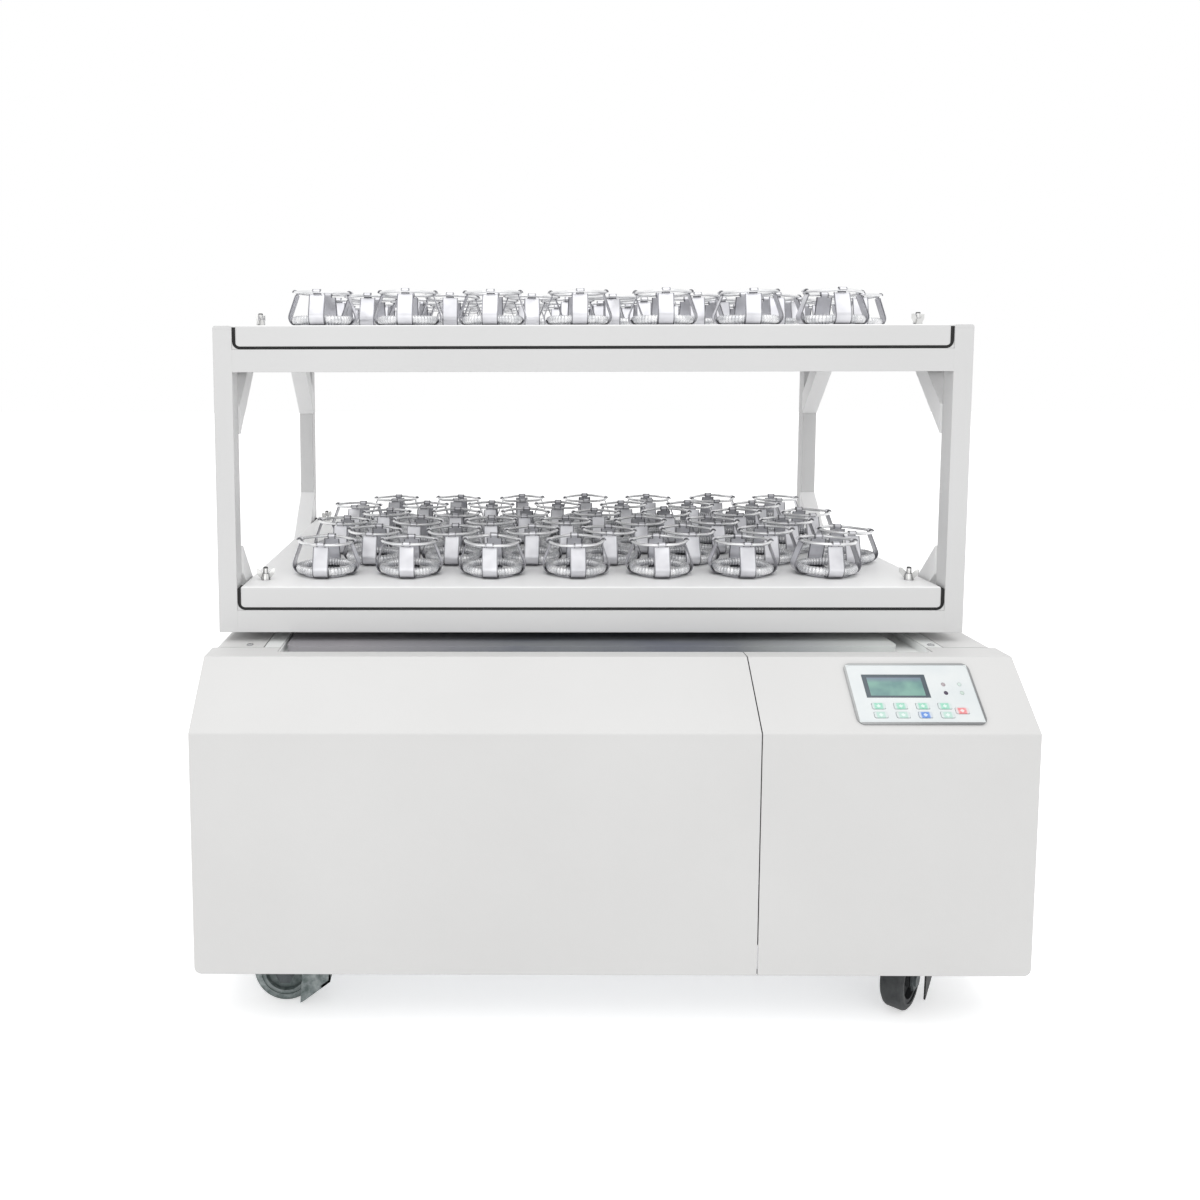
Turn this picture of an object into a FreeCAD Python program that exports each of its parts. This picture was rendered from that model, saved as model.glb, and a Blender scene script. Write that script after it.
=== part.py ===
import FreeCAD, Part
import math
import os
import re
import Sketcher

# A large orbital flask shaker: a cabinet on casters, an orbiting platform in its deck,
# and a two-deck rack of flask clamps on the platform.
# Millimetres. X to the right, Y to the back, Z up. The origin is on the floor, under the middle of the cabinet.

doc = FreeCAD.newDocument("OrbitalShaker")
os.makedirs("parts", exist_ok=True)

# Driving sizes, each written once.
sizes = {
    # Cabinet
    "cabinetWidth": 930.0,
    "cabinetDepth": 770.0,
    "skirtHeight": 70.0,
    "faceTop": 346.0,
    "deckHeight": 412.0,
    "slopeDepth": 69.0,
    "sheetGauge": 1.5,
    "foldRadius": 3.0,
    "lowerCornerRadius": 8.0,
    "shoulderRadius": 10.0,
    "coverFlange": 37.0,
    "bottomFlange": 10.0,
    "coverSeam": 162.0,
    "seamGap": 1.2,
    "deckStrip": 20.0,
    "rearInset": 4.0,
    "cutOverrun": 5.0,
    # Drive: one driven crank in the middle and three idler cranks round it
    "driveThrow": 13.0,
    "driveOffset": 35.0,
    "openingClearance": 6.0,
    "runningFit": 0.05,
    "seatGap": 0.3,
    "drillClearance": 0.2,
    # Platform
    "platformWidth": 730.0,
    "platformDepth": 626.0,
    "platformGauge": 10.0,
    "platformLift": 1.0,
    "platformCorner": 12.0,
    # Rack
    "rackWidth": 900.0,
    "rackDepth": 580.0,
    "rackHeight": 370.0,
    "rackLift": 12.0,
    "tubeSize": 25.0,
    "postWidth": 22.5,
    "beamHeight": 27.0,
    "tubeWall": 1.5,
    "capGauge": 4.0,
    "capRound": 3.0,
    "upperBeamLift": 315.0,
    "crossTubePlace": 300.0,
    "spacerPlace": 190.0,
    "spacerRadius": 11.0,
    "rackBoltRadius": 4.0,
    "rackBoltHead": 7.0,
    "rackBoltHeadHeight": 5.0,
    "braceOuterLeg": 75.0,
    "braceInnerLeg": 40.0,
    "gussetLeg": 70.0,
    "gussetGauge": 3.0,
    # Trays
    "trayGap": 3.6,
    "traySetback": 1.0,
    "apronHeight": 25.0,
    "trayFold": 2.5,
    "trayScrewPlace": 402.0,
    "trayScrewSetback": 44.0,
    "bushRadius": 9.0,
    "trayCorner": 6.0,
    "nutRadius": 6.0,
    "nutHeight": 8.0,
    "nutWaist": 4.5,
    "studRadius": 3.0,
    "studTop": 16.0,
    "studReach": 22.0,
    "wingSpan": 11.5,
    "wingTop": 14.0,
    "wingGauge": 2.6,
    # Flask clamps
    "clampPitch": 107.0,
    "rowPitch": 83.2,
    "firstRow": 82.0,
    "rowShift": -10.0,
    "clampGauge": 1.2,
    "fingerWidth": 18.0,
    "baseRadius": 31.0,
    "fingerFoot": 5.0,
    "fingerBend": 11.0,
    "ringRadius": 34.5,
    "ringHeight": 45.0,
    "wireRadius": 2.0,
    "hookWidth": 9.0,
    "hookClearance": 0.4,
    "clampScrewRadius": 2.4,
    "clampHeadRadius": 5.0,
    "clampHeadHeight": 3.0,
    "clampScrewReach": 5.0,
    # Base frame
    "baseHeight": 106.0,
    "frameWidth": 900.0,
    "frameDepth": 740.0,
    "railSize": 40.0,
    "railWall": 2.0,
    "crossRailPlace": 250.0,
    "frontPostSetback": 58.0,
    "mountWidth": 700.0,
    "mountDepth": 560.0,
    "mountGauge": 8.0,
    # Main crank
    "mainShaft": 15.0,
    "mainBearingOuter": 31.0,
    "mainBearingWidth": 16.0,
    "mainHousingBore": 24.0,
    "mainColumn": 45.0,
    "mainFlange": 75.0,
    "mainFlangeGauge": 12.0,
    "mainHousingHeight": 146.0,
    "shaftFoot": 2.0,
    "pulleyLift": 4.0,
    "pulleyWidth": 20.0,
    "pulleyRim": 2.0,
    "rimHeight": 4.5,
    "mainPulley": 100.0,
    "motorPulley": 30.0,
    "beltGauge": 4.0,
    "beltClearance": 0.15,
    "crankDisc": 55.0,
    "crankDiscGauge": 16.0,
    "crankPin": 12.5,
    "crankCollar": 17.0,
    "weightRadius": 125.0,
    "weightGauge": 30.0,
    "weightGap": 0.2,
    "hubDrop": 34.0,
    "mainHub": 40.0,
    "mainHubSeat": 26.0,
    "mainHubBearing": 15.0,
    "hubBore": 20.0,
    "pinShortfall": 7.0,
    # Idler cranks
    "idlerCircle": 240.0,
    "idlerShaft": 10.0,
    "idlerBearingOuter": 23.5,
    "idlerBearingWidth": 14.0,
    "idlerHousingBore": 17.0,
    "idlerColumn": 32.0,
    "idlerFlange": 55.0,
    "idlerFlangeGauge": 10.0,
    "idlerHousingHeight": 186.0,
    "idlerDisc": 35.0,
    "idlerDiscGauge": 12.0,
    "idlerCollar": 14.0,
    "idlerHub": 35.0,
    # Motor
    "motorPlace": 230.0,
    "motorRadius": 55.0,
    "motorLength": 126.0,
    "motorNose": 35.0,
    "motorNoseLength": 8.0,
    "motorShaft": 7.0,
    "motorShaftDepth": 34.0,
    # Power supply, board and inlet
    "supplyX": 265.0,
    "supplyY": 235.0,
    "supplyWidth": 170.0,
    "supplyDepth": 100.0,
    "supplyHeight": 55.0,
    "terminalDepth": 20.0,
    "terminalHeight": 22.0,
    "inletX": -330.0,
    "inletZ": 195.0,
    "inletWidth": 50.0,
    "inletHeight": 76.0,
    "inletFlange": 2.0,
    "inletBody": 44.0,
    "inletBodyHeight": 68.0,
    "inletDepth": 35.0,
    "socketWidth": 26.0,
    "socketHeight": 18.0,
    "socketDepth": 16.0,
    "socketDrop": 12.0,
    "rockerWidth": 20.0,
    "rockerHeight": 14.0,
    "rockerDepth": 9.0,
    "rockerRise": 19.0,
    "rockerProud": 1.6,
    "rockerGap": 1.0,
    "rockerFloor": 1.5,
    "ventWidth": 70.0,
    "ventHeight": 5.0,
    "ventPitch": 14.0,
    "ventX": 180.0,
    "ventZ": 190.0,
    # Control panel on the slanted face
    "panelPlace": 339.5,
    "panelDrop": 47.0,
    "panelWidth": 142.0,
    "panelHeight": 75.0,
    "panelCorner": 8.0,
    "panelGauge": 1.2,
    "panelRim": 2.4,
    "panelRimProud": 0.6,
    "windowWidth": 126.0,
    "windowHeight": 64.0,
    "screenX": -17.8,
    "screenY": 9.0,
    "screenWidth": 71.0,
    "screenHeight": 28.4,
    "screenLip": 2.5,
    "screenDepth": 6.0,
    "keyWidth": 14.5,
    "keyHeight": 7.0,
    "keyCorner": 1.6,
    "keyPitch": 24.4,
    "keyRowPitch": 10.7,
    "keyFirstX": -43.5,
    "keyFirstY": -15.7,
    "stopKeyX": 47.2,
    "stopKeyY": -21.4,
    "keyProud": 0.7,
    "keyTravel": 0.5,
    "keyFlange": 1.0,
    "keyFlangeGauge": 1.2,
    "keyStem": 2.0,
    "lampRadius": 2.2,
    "lampX": 36.0,
    "lampPitchX": 18.0,
    "lampY": 11.0,
    "lampPitchY": 10.5,
    "lampProud": 0.3,
    "lampDepth": 4.0,
    "boardDepth": 9.0,
    "boardGauge": 1.6,
    "boardWidth": 142.0,
    "boardHeight": 72.0,
    "standoffRadius": 2.5,
    "standoffMargin": 4.0,
    "switchSize": 6.0,
    # Casters
    "casterX": 357.0,
    "casterY": 315.0,
    "casterPlateX": 90.0,
    "casterPlateY": 70.0,
    "casterPlateGauge": 3.0,
    "raceRadius": 24.0,
    "raceDepth": 4.5,
    "kingpinRadius": 6.0,
    "kingpinHead": 9.0,
    "kingpinHeadGauge": 2.2,
    "forkCrown": 26.0,
    "forkGauge": 3.0,
    "forkGap": 1.0,
    "forkFoot": 12.0,
    "casterTrail": 18.0,
    "wheelRadius": 37.5,
    "wheelWidth": 26.0,
    "wheelCore": 28.5,
    "wheelShoulder": 5.0,
    "axleRadius": 5.0,
    "axleHead": 8.0,
    "axleHeadGauge": 2.5,
    "leftSwivel": 180.0,
    "rightSwivel": -130.0,
    "pedalPivotX": 14.0,
    "pedalPivotZ": 66.0,
    "pedalPivotRadius": 3.0,
    "pedalArmGauge": 2.0,
    "pedalEye": 7.0,
    "hoodTip": 39.0,
    "hoodTipLow": 29.0,
    "hoodTipHigh": 36.0,
    "hoodFoot": 16.0,
    "hoodFootInner": 6.0,
    "hoodFootLow": 5.0,
    "hoodGauge": 2.0,
    # Cover screws
    "screwHead": 4.0,
    "screwHeadHeight": 1.8,
    "screwShank": 2.0,
    "screwReach": 7.0,
    "sideScrewX": 423.0,
    "stripScrewX": 394.0,
    "sideScrewFront": 11.0,
    "sideScrewRear": 40.0,
    "rearScrewX": 440.0,
    "rearScrewLow": 40.0,
    "rearScrewHigh": 30.0,
    # Shares of another size
    "headEdgeShare": 0.33,
    "rockerFootShare": 0.6,
    "rockerDipShare": 0.33,
    "wingRootShare": 0.25,
    "wingTipShare": 0.6,
    "forkLegShare": 0.85,
    "shoulderShare": 0.25,
    "rimShare": 0.85,
    "coreShare": 0.9,
    "webShare": 0.2,
    "axleHubShare": 2.2,
}

# Counts and shares that carry no length
clampColumns = 7
clampRows = 6
ventRows = 8
idlerAngles = (90.0, 210.0, 330.0)
clampYaw = -3.0
clampYawSpread = 2.5
clampYawStep = 2.4
hookTurn = 200.0
wingTurns = (80.0, 10.0, 35.0, 120.0, 15.0, 60.0, 140.0, 100.0)

# Places and sizes that follow from the driving ones
derived = {
    "frontFace": "-cabinetDepth / 2",
    "rearFace": "cabinetDepth / 2",
    "deckFront": "frontFace + slopeDepth",
    "flangeEnd": "deckFront + coverFlange",
    "halfWidth": "cabinetWidth / 2",
    "slopeRise": "deckHeight - faceTop",
    "slopeAngle": "atan(slopeRise / slopeDepth)",
    "openingX": "platformWidth / 2 + driveThrow + openingClearance",
    "openingY": "platformDepth / 2 + driveThrow + openingClearance",
    "openingFront": "driveOffset - openingY",
    "openingRear": "driveOffset + openingY",
    "stripX": "openingX + deckStrip",
    "halfSeam": "seamGap / 2",
    "restX": "-driveThrow",
    "platformTop": "deckHeight + platformLift",
    "platformBase": "platformTop - platformGauge",
    "rackBase": "deckHeight + rackLift",
    "rackFront": "driveOffset - rackDepth / 2",
    "rackBack": "driveOffset + rackDepth / 2",
    "rackX": "rackWidth / 2",
    "upperBeam": "rackBase + upperBeamLift",
    "plateTop": "baseHeight + railSize + mountGauge",
    "pulleyBase": "plateTop + mainHousingHeight + pulleyLift",
    "pulleyTop": "pulleyBase + pulleyWidth",
    "crankTop": "pulleyTop + crankDiscGauge",
    "hubBase": "platformBase - hubDrop",
    "pinTop": "platformBase - pinShortfall",
    "panelY": "deckFront - cos(slopeAngle) * panelDrop",
    "panelZ": "deckHeight - sin(slopeAngle) * panelDrop",
    "casterTop": "baseHeight - sheetGauge",
    "raceBase": "casterTop - casterPlateGauge - raceDepth",
    "crownTop": "raceBase - seatGap",
    "rearPanelFace": "rearFace - rearInset",
}

sheet = doc.addObject("Spreadsheet::Sheet", "Sizes")
for row, (word, number) in enumerate(sizes.items(), start=1):
    sheet.set("A%d" % row, word)
    sheet.set("B%d" % row, str(number))
    sheet.setAlias("B%d" % row, word)
doc.recompute()


def bound(formula):
    # Writes a formula of size names as an expression on the sheet's cells.
    def swap(match):
        word = match.group(0)
        if word in derived:
            return "(" + bound(derived[word]) + ")"
        return "Sizes." + word
    return re.sub(r"[A-Za-z]\w*\b(?!\()", swap, formula)


known = {}


def value(formula):
    # The number that a formula gives now.
    if formula not in known:
        result = sheet.evalExpression(bound(formula))
        known[formula] = float(getattr(result, "Value", result))
    return known[formula]


def bind(item, **formulas):
    for name, formula in formulas.items():
        item.setExpression(name, bound(formula))
    return item


def seat(item, x="0", y="0", z="0", turns=()):
    # Places an item; turns are (axis, degrees) pairs, the first one nearest to the item.
    rotation = FreeCAD.Rotation()
    for axis, degrees in turns:
        rotation = FreeCAD.Rotation(FreeCAD.Vector(*axis), degrees).multiply(rotation)
    item.Placement = FreeCAD.Placement(FreeCAD.Vector(value(x), value(y), value(z)), rotation)
    for axis, formula in (("x", x), ("y", y), ("z", z)):
        item.setExpression("Placement.Base." + axis, bound(formula))
    return item


def box(name, size, corner=("0", "0", "0")):
    block = doc.addObject("Part::Box", name)
    bind(block, Length=size[0], Width=size[1], Height=size[2])
    return seat(block, *corner)


def rod(name, radius, length, foot=("0", "0", "0"), turns=()):
    bar = doc.addObject("Part::Cylinder", name)
    bind(bar, Radius=radius, Height=length)
    return seat(bar, *foot, turns=turns)


def cut(name, base, tool):
    result = doc.addObject("Part::Cut", name)
    result.Base = base
    result.Tool = tool
    result.Refine = True
    return result


def fuse(name, items):
    result = doc.addObject("Part::MultiFuse", name)
    result.Shapes = items
    result.Refine = True
    return result


def group(name, items):
    # Separate solids kept together as one sub-part.
    result = doc.addObject("Part::Compound", name)
    result.Links = items
    return result


def mirrored(name, item):
    twin = doc.addObject("Part::Mirroring", name)
    twin.Source = item
    twin.Base = FreeCAD.Vector(0, 0, 0)
    twin.Normal = FreeCAD.Vector(1, 0, 0)
    return twin


def solid(name, shape, x="0", y="0", z="0"):
    # A piece whose form neither sketches nor primitives suit; its shape reads the sheet.
    item = doc.addObject("Part::Feature", name)
    item.Shape = shape
    item.Placement = FreeCAD.Placement(FreeCAD.Vector(value(x), value(y), value(z)), FreeCAD.Rotation())
    return item


def drawOutline(sketch, outline):
    # A closed outline of straight lines whose corners are bound to size formulas.
    first = sketch.GeometryCount
    corners = [FreeCAD.Vector(value(across), value(up), 0) for across, up in outline]
    count = len(corners)
    for index in range(count):
        sketch.addGeometry(Part.LineSegment(corners[index], corners[(index + 1) % count]), False)
    for index in range(count):
        follower = first + (index + 1) % count
        sketch.addConstraint(Sketcher.Constraint("Coincident", first + index, 2, follower, 1))
    for index, (across, up) in enumerate(outline):
        for kind, formula in (("DistanceX", across), ("DistanceY", up)):
            number = value(formula)
            place = sketch.addConstraint(Sketcher.Constraint(kind, -1, 1, first + index, 1, number))
            if formula != "0":
                sketch.setExpression("Constraints[%d]" % place, bound(formula))


def sketchOn(body, plane, outlines):
    sketch = body.newObject("Sketcher::SketchObject", body.Name + "Sketch")
    origin = [item for item in body.Origin.OriginFeatures if item.Role == plane + "_Plane"][0]
    sketch.AttachmentSupport = [(origin, "")]
    sketch.MapMode = "FlatFace"
    for outline in outlines:
        drawOutline(sketch, outline)
    return sketch


def passes(edge, places):
    # True where a straight edge runs through one of the places, given as (axis index, formula) pairs.
    for place in places:
        if all(abs(edge.Vertexes[0].Point[axis] - value(formula)) < 1e-4
               and abs(edge.Vertexes[-1].Point[axis] - value(formula)) < 1e-4 for axis, formula in place):
            return True
    return False


def roundEdges(body, feature, radius, places):
    # Rounds the edges of a feature that pass through the given places.
    doc.recompute()
    names = ["Edge%d" % (index + 1) for index, edge in enumerate(feature.Shape.Edges) if passes(edge, places)]
    fillet = body.newObject("PartDesign::Fillet", body.Name + "Round")
    fillet.Base = (feature, names)
    fillet.setExpression("Radius", bound(radius))
    feature.Visibility = False
    return fillet


sketchAxes = {"XY": (0, 1), "XZ": (0, 2), "YZ": (1, 2)}


def prism(name, plane, outlines, length, corner=("0", "0", "0"), rounds=()):
    # A sketch on a plane of the body, padded to +Z, +Y or +X, with rounded edges.
    body = doc.addObject("PartDesign::Body", name)
    sketch = sketchOn(body, plane, outlines)
    pad = body.newObject("PartDesign::Pad", name + "Pad")
    pad.Profile = sketch
    pad.Reversed = plane == "XZ"
    pad.setExpression("Length", bound(length))
    feature = pad
    for radius, places in rounds:
        feature = roundEdges(body, feature, radius, places)
    body.Tip = feature
    return seat(body, *corner)


def cornerEdges(plane, outline, picked=None):
    # The places of the padded edges that rise from an outline's corners.
    axes = sketchAxes[plane]
    chosen = range(len(outline)) if picked is None else picked
    return [[(axes[0], outline[index][0]), (axes[1], outline[index][1])] for index in chosen]


def turned(name, outline, foot=("0", "0", "0"), turns=()):
    # An outline of radius and height, revolved about the body's own Z axis.
    body = doc.addObject("PartDesign::Body", name)
    sketch = sketchOn(body, "XZ", [outline])
    lathe = body.newObject("PartDesign::Revolution", name + "Turn")
    lathe.Profile = sketch
    lathe.ReferenceAxis = (sketch, ["V_Axis"])
    lathe.Angle = 360
    body.Tip = lathe
    return seat(body, *foot, turns=turns)


def rectangle(width, height, x="0", y="0"):
    # The corners of a rectangle about a middle point.
    left, right = "%s - (%s) / 2" % (x, width), "%s + (%s) / 2" % (x, width)
    low, high = "%s - (%s) / 2" % (y, height), "%s + (%s) / 2" % (y, height)
    return [(left, low), (right, low), (right, high), (left, high)]


def tube(name, size, corner, along, wall):
    # A rectangular tube with open ends; along is the index of its length.
    outer = box(name + "Outer", size, corner)
    inside = ["%s - 2 * %s" % (side, wall) for side in size]
    place = ["%s + %s" % (start, wall) for start in corner]
    inside[along] = "%s + 2 * cutOverrun" % size[along]
    place[along] = "%s - cutOverrun" % corner[along]
    return cut(name, outer, box(name + "Bore", inside, place))


nodes = []


def node(item, label):
    item.Label = label
    nodes.append(item)
    return item


# Cabinet covers

def coverForm(name, inset, length, start, mirrorPlace):
    # The folded front section as a full block, with an inset for its hollow.
    drop = "(%s) * (1 - sin(slopeAngle)) / cos(slopeAngle)" % inset
    step = "(%s) * (1 - cos(slopeAngle)) / sin(slopeAngle)" % inset
    outline = [
        ("frontFace + " + inset, "skirtHeight + " + inset),
        ("frontFace + " + inset, "faceTop + " + drop),
        ("deckFront + " + step, "deckHeight - " + inset),
        ("flangeEnd", "deckHeight - " + inset),
        ("flangeEnd", "skirtHeight + " + inset),
    ]
    if inset != "0":
        outline[3] = ("flangeEnd + cutOverrun", outline[3][1])
        outline[4] = ("flangeEnd + cutOverrun", outline[4][1])
    fold = "foldRadius - " + inset
    lower = "lowerCornerRadius - " + inset
    endX = (0, "0") if mirrorPlace == "left" else (0, length)
    rounds = [
        (lower, [[endX, (2, outline[0][1])]]),
        (fold, cornerEdges("YZ", outline, (1, 2))),
    ]
    return prism(name, "YZ", [outline], length, (start, "0", "0"), rounds)


def coverCuts(name, start, length, openSide):
    # What is cut from a front section: its bottom, and the notch of the platform's opening.
    low = "skirtHeight - cutOverrun"
    clear = "sheetGauge + 2 * cutOverrun"
    bottomStart = start + (" + bottomFlange" if openSide == "right" else " - cutOverrun")
    bottom = box(name + "Bottom", (length + " - bottomFlange + cutOverrun", "cabinetDepth", clear),
                 (bottomStart, "frontFace + bottomFlange", low))
    notch = box(name + "Notch", ("2 * openingX", "cabinetDepth", clear),
                ("-openingX", "openingFront", "deckHeight - sheetGauge - cutOverrun"))
    return [bottom, notch]


def buildFrontCover():
    length = "halfWidth + coverSeam - halfSeam"
    outer = coverForm("frontCoverOuter", "0", length, "-halfWidth", "left")
    inner = coverForm("frontCoverInner", "sheetGauge", length + " + cutOverrun", "-halfWidth + sheetGauge", "left")
    cuts = group("frontCoverCuts", [inner] + coverCuts("frontCover", "-halfWidth", length, "right"))
    node(cut("frontCover", outer, cuts), "front_cover")


def panelPlaced(item):
    # Puts a piece drawn flat onto the slanted face: X right, Y up the slope, Z out of the face.
    turn = FreeCAD.Rotation(FreeCAD.Vector(1, 0, 0), value("slopeAngle"))
    item.Placement = FreeCAD.Placement(FreeCAD.Vector(0, 0, 0), turn)
    bind(item, **{"Placement.Rotation.Angle": "slopeAngle"})
    for axis, formula in (("x", "panelPlace"), ("y", "panelY"), ("z", "panelZ")):
        item.setExpression("Placement.Base." + axis, bound(formula))
    return item


def buildControlCover():
    start = "coverSeam + halfSeam"
    length = "halfWidth - coverSeam - halfSeam"
    outer = coverForm("controlCoverOuter", "0", length, start, "right")
    innerLength = length + " - sheetGauge + cutOverrun"
    inner = coverForm("controlCoverInner", "sheetGauge", innerLength, start + " - cutOverrun", "right")
    window = box("controlWindow", ("windowWidth", "windowHeight", "2 * cutOverrun"),
                 ("-windowWidth / 2", "-windowHeight / 2", "-cutOverrun"))
    placed = panelPlaced(group("controlWindowPlaced", [window]))
    cuts = coverCuts("controlCover", start, length, "left")
    node(cut("controlCover", outer, group("controlCoverCuts", [inner, placed] + cuts)), "control_cover")


def sideForm(name, inset):
    # The right side section as a full bar along Y, with an inset for its hollow.
    outline = [
        ("stripX + halfSeam", "skirtHeight + " + inset),
        ("halfWidth - " + inset, "skirtHeight + " + inset),
        ("halfWidth - " + inset, "deckHeight - " + inset),
        ("stripX + halfSeam", "deckHeight - " + inset),
    ]
    over = "0"
    if inset != "0":
        over = "cutOverrun"
        outline[0] = ("stripX - cutOverrun", outline[0][1])
        outline[3] = ("stripX - cutOverrun", outline[3][1])
    rounds = [
        ("lowerCornerRadius - " + inset, cornerEdges("XZ", outline, (1,))),
        ("shoulderRadius - " + inset, cornerEdges("XZ", outline, (2,))),
    ]
    start = "flangeEnd + seamGap - " + over
    return prism(name, "XZ", [outline], "rearFace - (%s) + %s" % (start, over), ("0", start, "0"), rounds)


def buildSidePanels():
    outer = sideForm("sideOuter", "0")
    inner = sideForm("sideInner", "sheetGauge")
    bottom = box("sideBottom", ("halfWidth - bottomFlange - stripX + cutOverrun", "cabinetDepth + cutOverrun",
                                "sheetGauge + 2 * cutOverrun"),
                 ("stripX - cutOverrun", "flangeEnd - cutOverrun", "skirtHeight - cutOverrun"))
    rear = deckDrill("sideDrill", "sideScrewX", "rearFace - sideScrewRear")
    right = node(cut("rightSide", outer, group("sideCuts", [inner, bottom, rear])), "right_side_panel")
    front = deckDrill("leftDrill", "-sideScrewX", "flangeEnd + sideScrewFront")
    node(cut("leftSide", mirrored("leftForm", right), front), "left_side_panel")


def deckDrill(name, x, y):
    return rod(name, "screwShank + drillClearance", "2 * cutOverrun", (x, y, "deckHeight - cutOverrun"))


def deckScrewPlaces():
    # The front right screw holds the deck plate's strip, the others the side panels.
    front, back = "flangeEnd + sideScrewFront", "rearFace - sideScrewRear"
    return (("-sideScrewX", front), ("stripScrewX", front), ("-sideScrewX", back), ("sideScrewX", back))


def buildDeckPlate():
    right, inner = "stripX - halfSeam", "openingX"
    front, back = "flangeEnd + seamGap", "rearFace - sheetGauge"
    outline = [
        ("-(%s)" % right, front), ("-(%s)" % inner, front), ("-(%s)" % inner, "openingRear"),
        (inner, "openingRear"), (inner, front), (right, front), (right, back), ("-(%s)" % right, back),
    ]
    plate = prism("deckPlate", "XY", [outline], "sheetGauge", ("0", "0", "deckHeight - sheetGauge"),
                  [("foldRadius", cornerEdges("XY", outline, (2, 3)))])
    drill = deckDrill("stripDrill", *deckScrewPlaces()[1])
    node(cut("deckDrilled", plate, drill), "deck_plate")


def rearScrewPlaces():
    low, high = "skirtHeight + rearScrewLow", "deckHeight - rearScrewHigh"
    middle = "(skirtHeight + deckHeight) / 2"
    return [(side + "rearScrewX", level) for side in ("-", "") for level in (low, middle, high)]


def buildRearPanel():
    half = "halfWidth - sheetGauge - seatGap"
    low, high = "skirtHeight + sheetGauge + seatGap", "deckHeight - sheetGauge - seatGap"
    outline = [("-(%s)" % half, low), (half, low), (half, high), ("-(%s)" % half, high)]
    slots = []
    for side in ("-", ""):
        for row in range(ventRows):
            slots.append(rectangle("ventWidth", "ventHeight", side + "ventX", "ventZ + %d * ventPitch" % row))
    inlet = rectangle("inletBody + 2 * drillClearance", "inletBodyHeight + 2 * drillClearance", "inletX", "inletZ")
    rounds = [
        ("lowerCornerRadius - sheetGauge", cornerEdges("XZ", outline, (0, 1))),
        ("shoulderRadius - sheetGauge", cornerEdges("XZ", outline, (2, 3))),
    ]
    plate = prism("rearPlate", "XZ", [outline, inlet] + slots, "sheetGauge",
                  ("0", "rearPanelFace - sheetGauge", "0"), rounds)
    drills = []
    for index, (x, z) in enumerate(rearScrewPlaces()):
        drills.append(rod("rearDrill%d" % index, "screwShank + drillClearance", "2 * cutOverrun",
                          (x, "rearPanelFace + cutOverrun", z), (((1, 0, 0), 90),)))
    node(cut("rearPanel", plate, group("rearDrills", drills)), "rear_panel")


def screwOutline():
    # Head above its seat at height zero, shank below it.
    return [
        ("0", "-screwReach"), ("screwShank", "-screwReach"), ("screwShank", "0"), ("screwHead", "0"),
        ("screwHead", "screwHeadHeight * headEdgeShare"), ("screwHead / 2", "screwHeadHeight"),
        ("0", "screwHeadHeight"),
    ]


def buildCoverScrews():
    screws = []
    for x, y in deckScrewPlaces():
        screws.append(turned("screw%d" % len(screws), screwOutline(), (x, y, "deckHeight")))
    for x, z in rearScrewPlaces():
        foot = (x, "rearPanelFace", z)
        screws.append(turned("screw%d" % len(screws), screwOutline(), foot, (((1, 0, 0), -90),)))
    node(group("coverScrews", screws), "cover_screws")


# Base frame

def rail(name, size, corner, along):
    return tube(name, size, corner, along, "railWall")


def buildBaseFrame():
    x, y = "-frameWidth / 2", "-frameDepth / 2"
    inner = "frameDepth - 2 * railSize"
    rails = [
        rail("frontRail", ("frameWidth", "railSize", "railSize"), (x, y, "baseHeight"), 0),
        rail("backRail", ("frameWidth", "railSize", "railSize"), (x, "frameDepth / 2 - railSize", "baseHeight"), 0),
    ]
    starts = {"left": x, "right": "frameWidth / 2 - railSize",
              "crossLeft": "-crossRailPlace - railSize / 2", "crossRight": "crossRailPlace - railSize / 2"}
    for name, start in starts.items():
        size = ("railSize", inner, "railSize")
        rails.append(rail(name + "Rail", size, (start, y + " + railSize", "baseHeight"), 1))
    top = "baseHeight + railSize"
    rise = "deckHeight - sheetGauge - (%s)" % top
    for name, start in (("left", x), ("right", "frameWidth / 2 - railSize")):
        for end, place in (("Front", y + " + frontPostSetback"), ("Back", "frameDepth / 2 - railSize")):
            rails.append(rail(name + end + "Upright", ("railSize", "railSize", rise), (start, place, top), 2))
    node(group("baseRails", rails), "base_rails")


def buildBottomPlate():
    left, right = "-halfWidth + sheetGauge + seatGap", "halfWidth - sheetGauge - seatGap"
    front, back = "frontFace + sheetGauge + seatGap", "rearPanelFace - sheetGauge - seatGap"
    outline = [(left, front), (right, front), (right, back), (left, back)]
    plate = prism("bottomPlate", "XY", [outline], "sheetGauge", ("0", "0", "casterTop"),
                  [("foldRadius", cornerEdges("XY", outline))])
    node(plate, "bottom_plate")


def buildMountingPlate():
    outline = rectangle("mountWidth", "mountDepth", "0", "driveOffset")
    plate = prism("mountPlate", "XY", [outline], "mountGauge", ("0", "0", "plateTop - mountGauge"),
                  [("platformCorner", cornerEdges("XY", outline))])
    node(plate, "mounting_plate")


# Drive

def housingOutline(seatRadius, bearing, bore, column, flange, flangeGauge, height):
    return [(seatRadius, "0"), (flange, "0"), (flange, flangeGauge), (column, flangeGauge), (column, height),
            (seatRadius, height), (seatRadius, height + " - " + bearing), (bore, height + " - " + bearing),
            (bore, bearing), (seatRadius, bearing)]


def ringOutline(inner, outer, width):
    return [(inner, "0"), (outer, "0"), (outer, width), (inner, width)]


def idlerPlaces():
    # The idler axes on their circle about the driven axis.
    places = []
    for angle in idlerAngles:
        across, back = math.cos(math.radians(angle)), math.sin(math.radians(angle))
        places.append(("%.9f * idlerCircle" % across, "driveOffset + %.9f * idlerCircle" % back))
    return places


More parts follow.
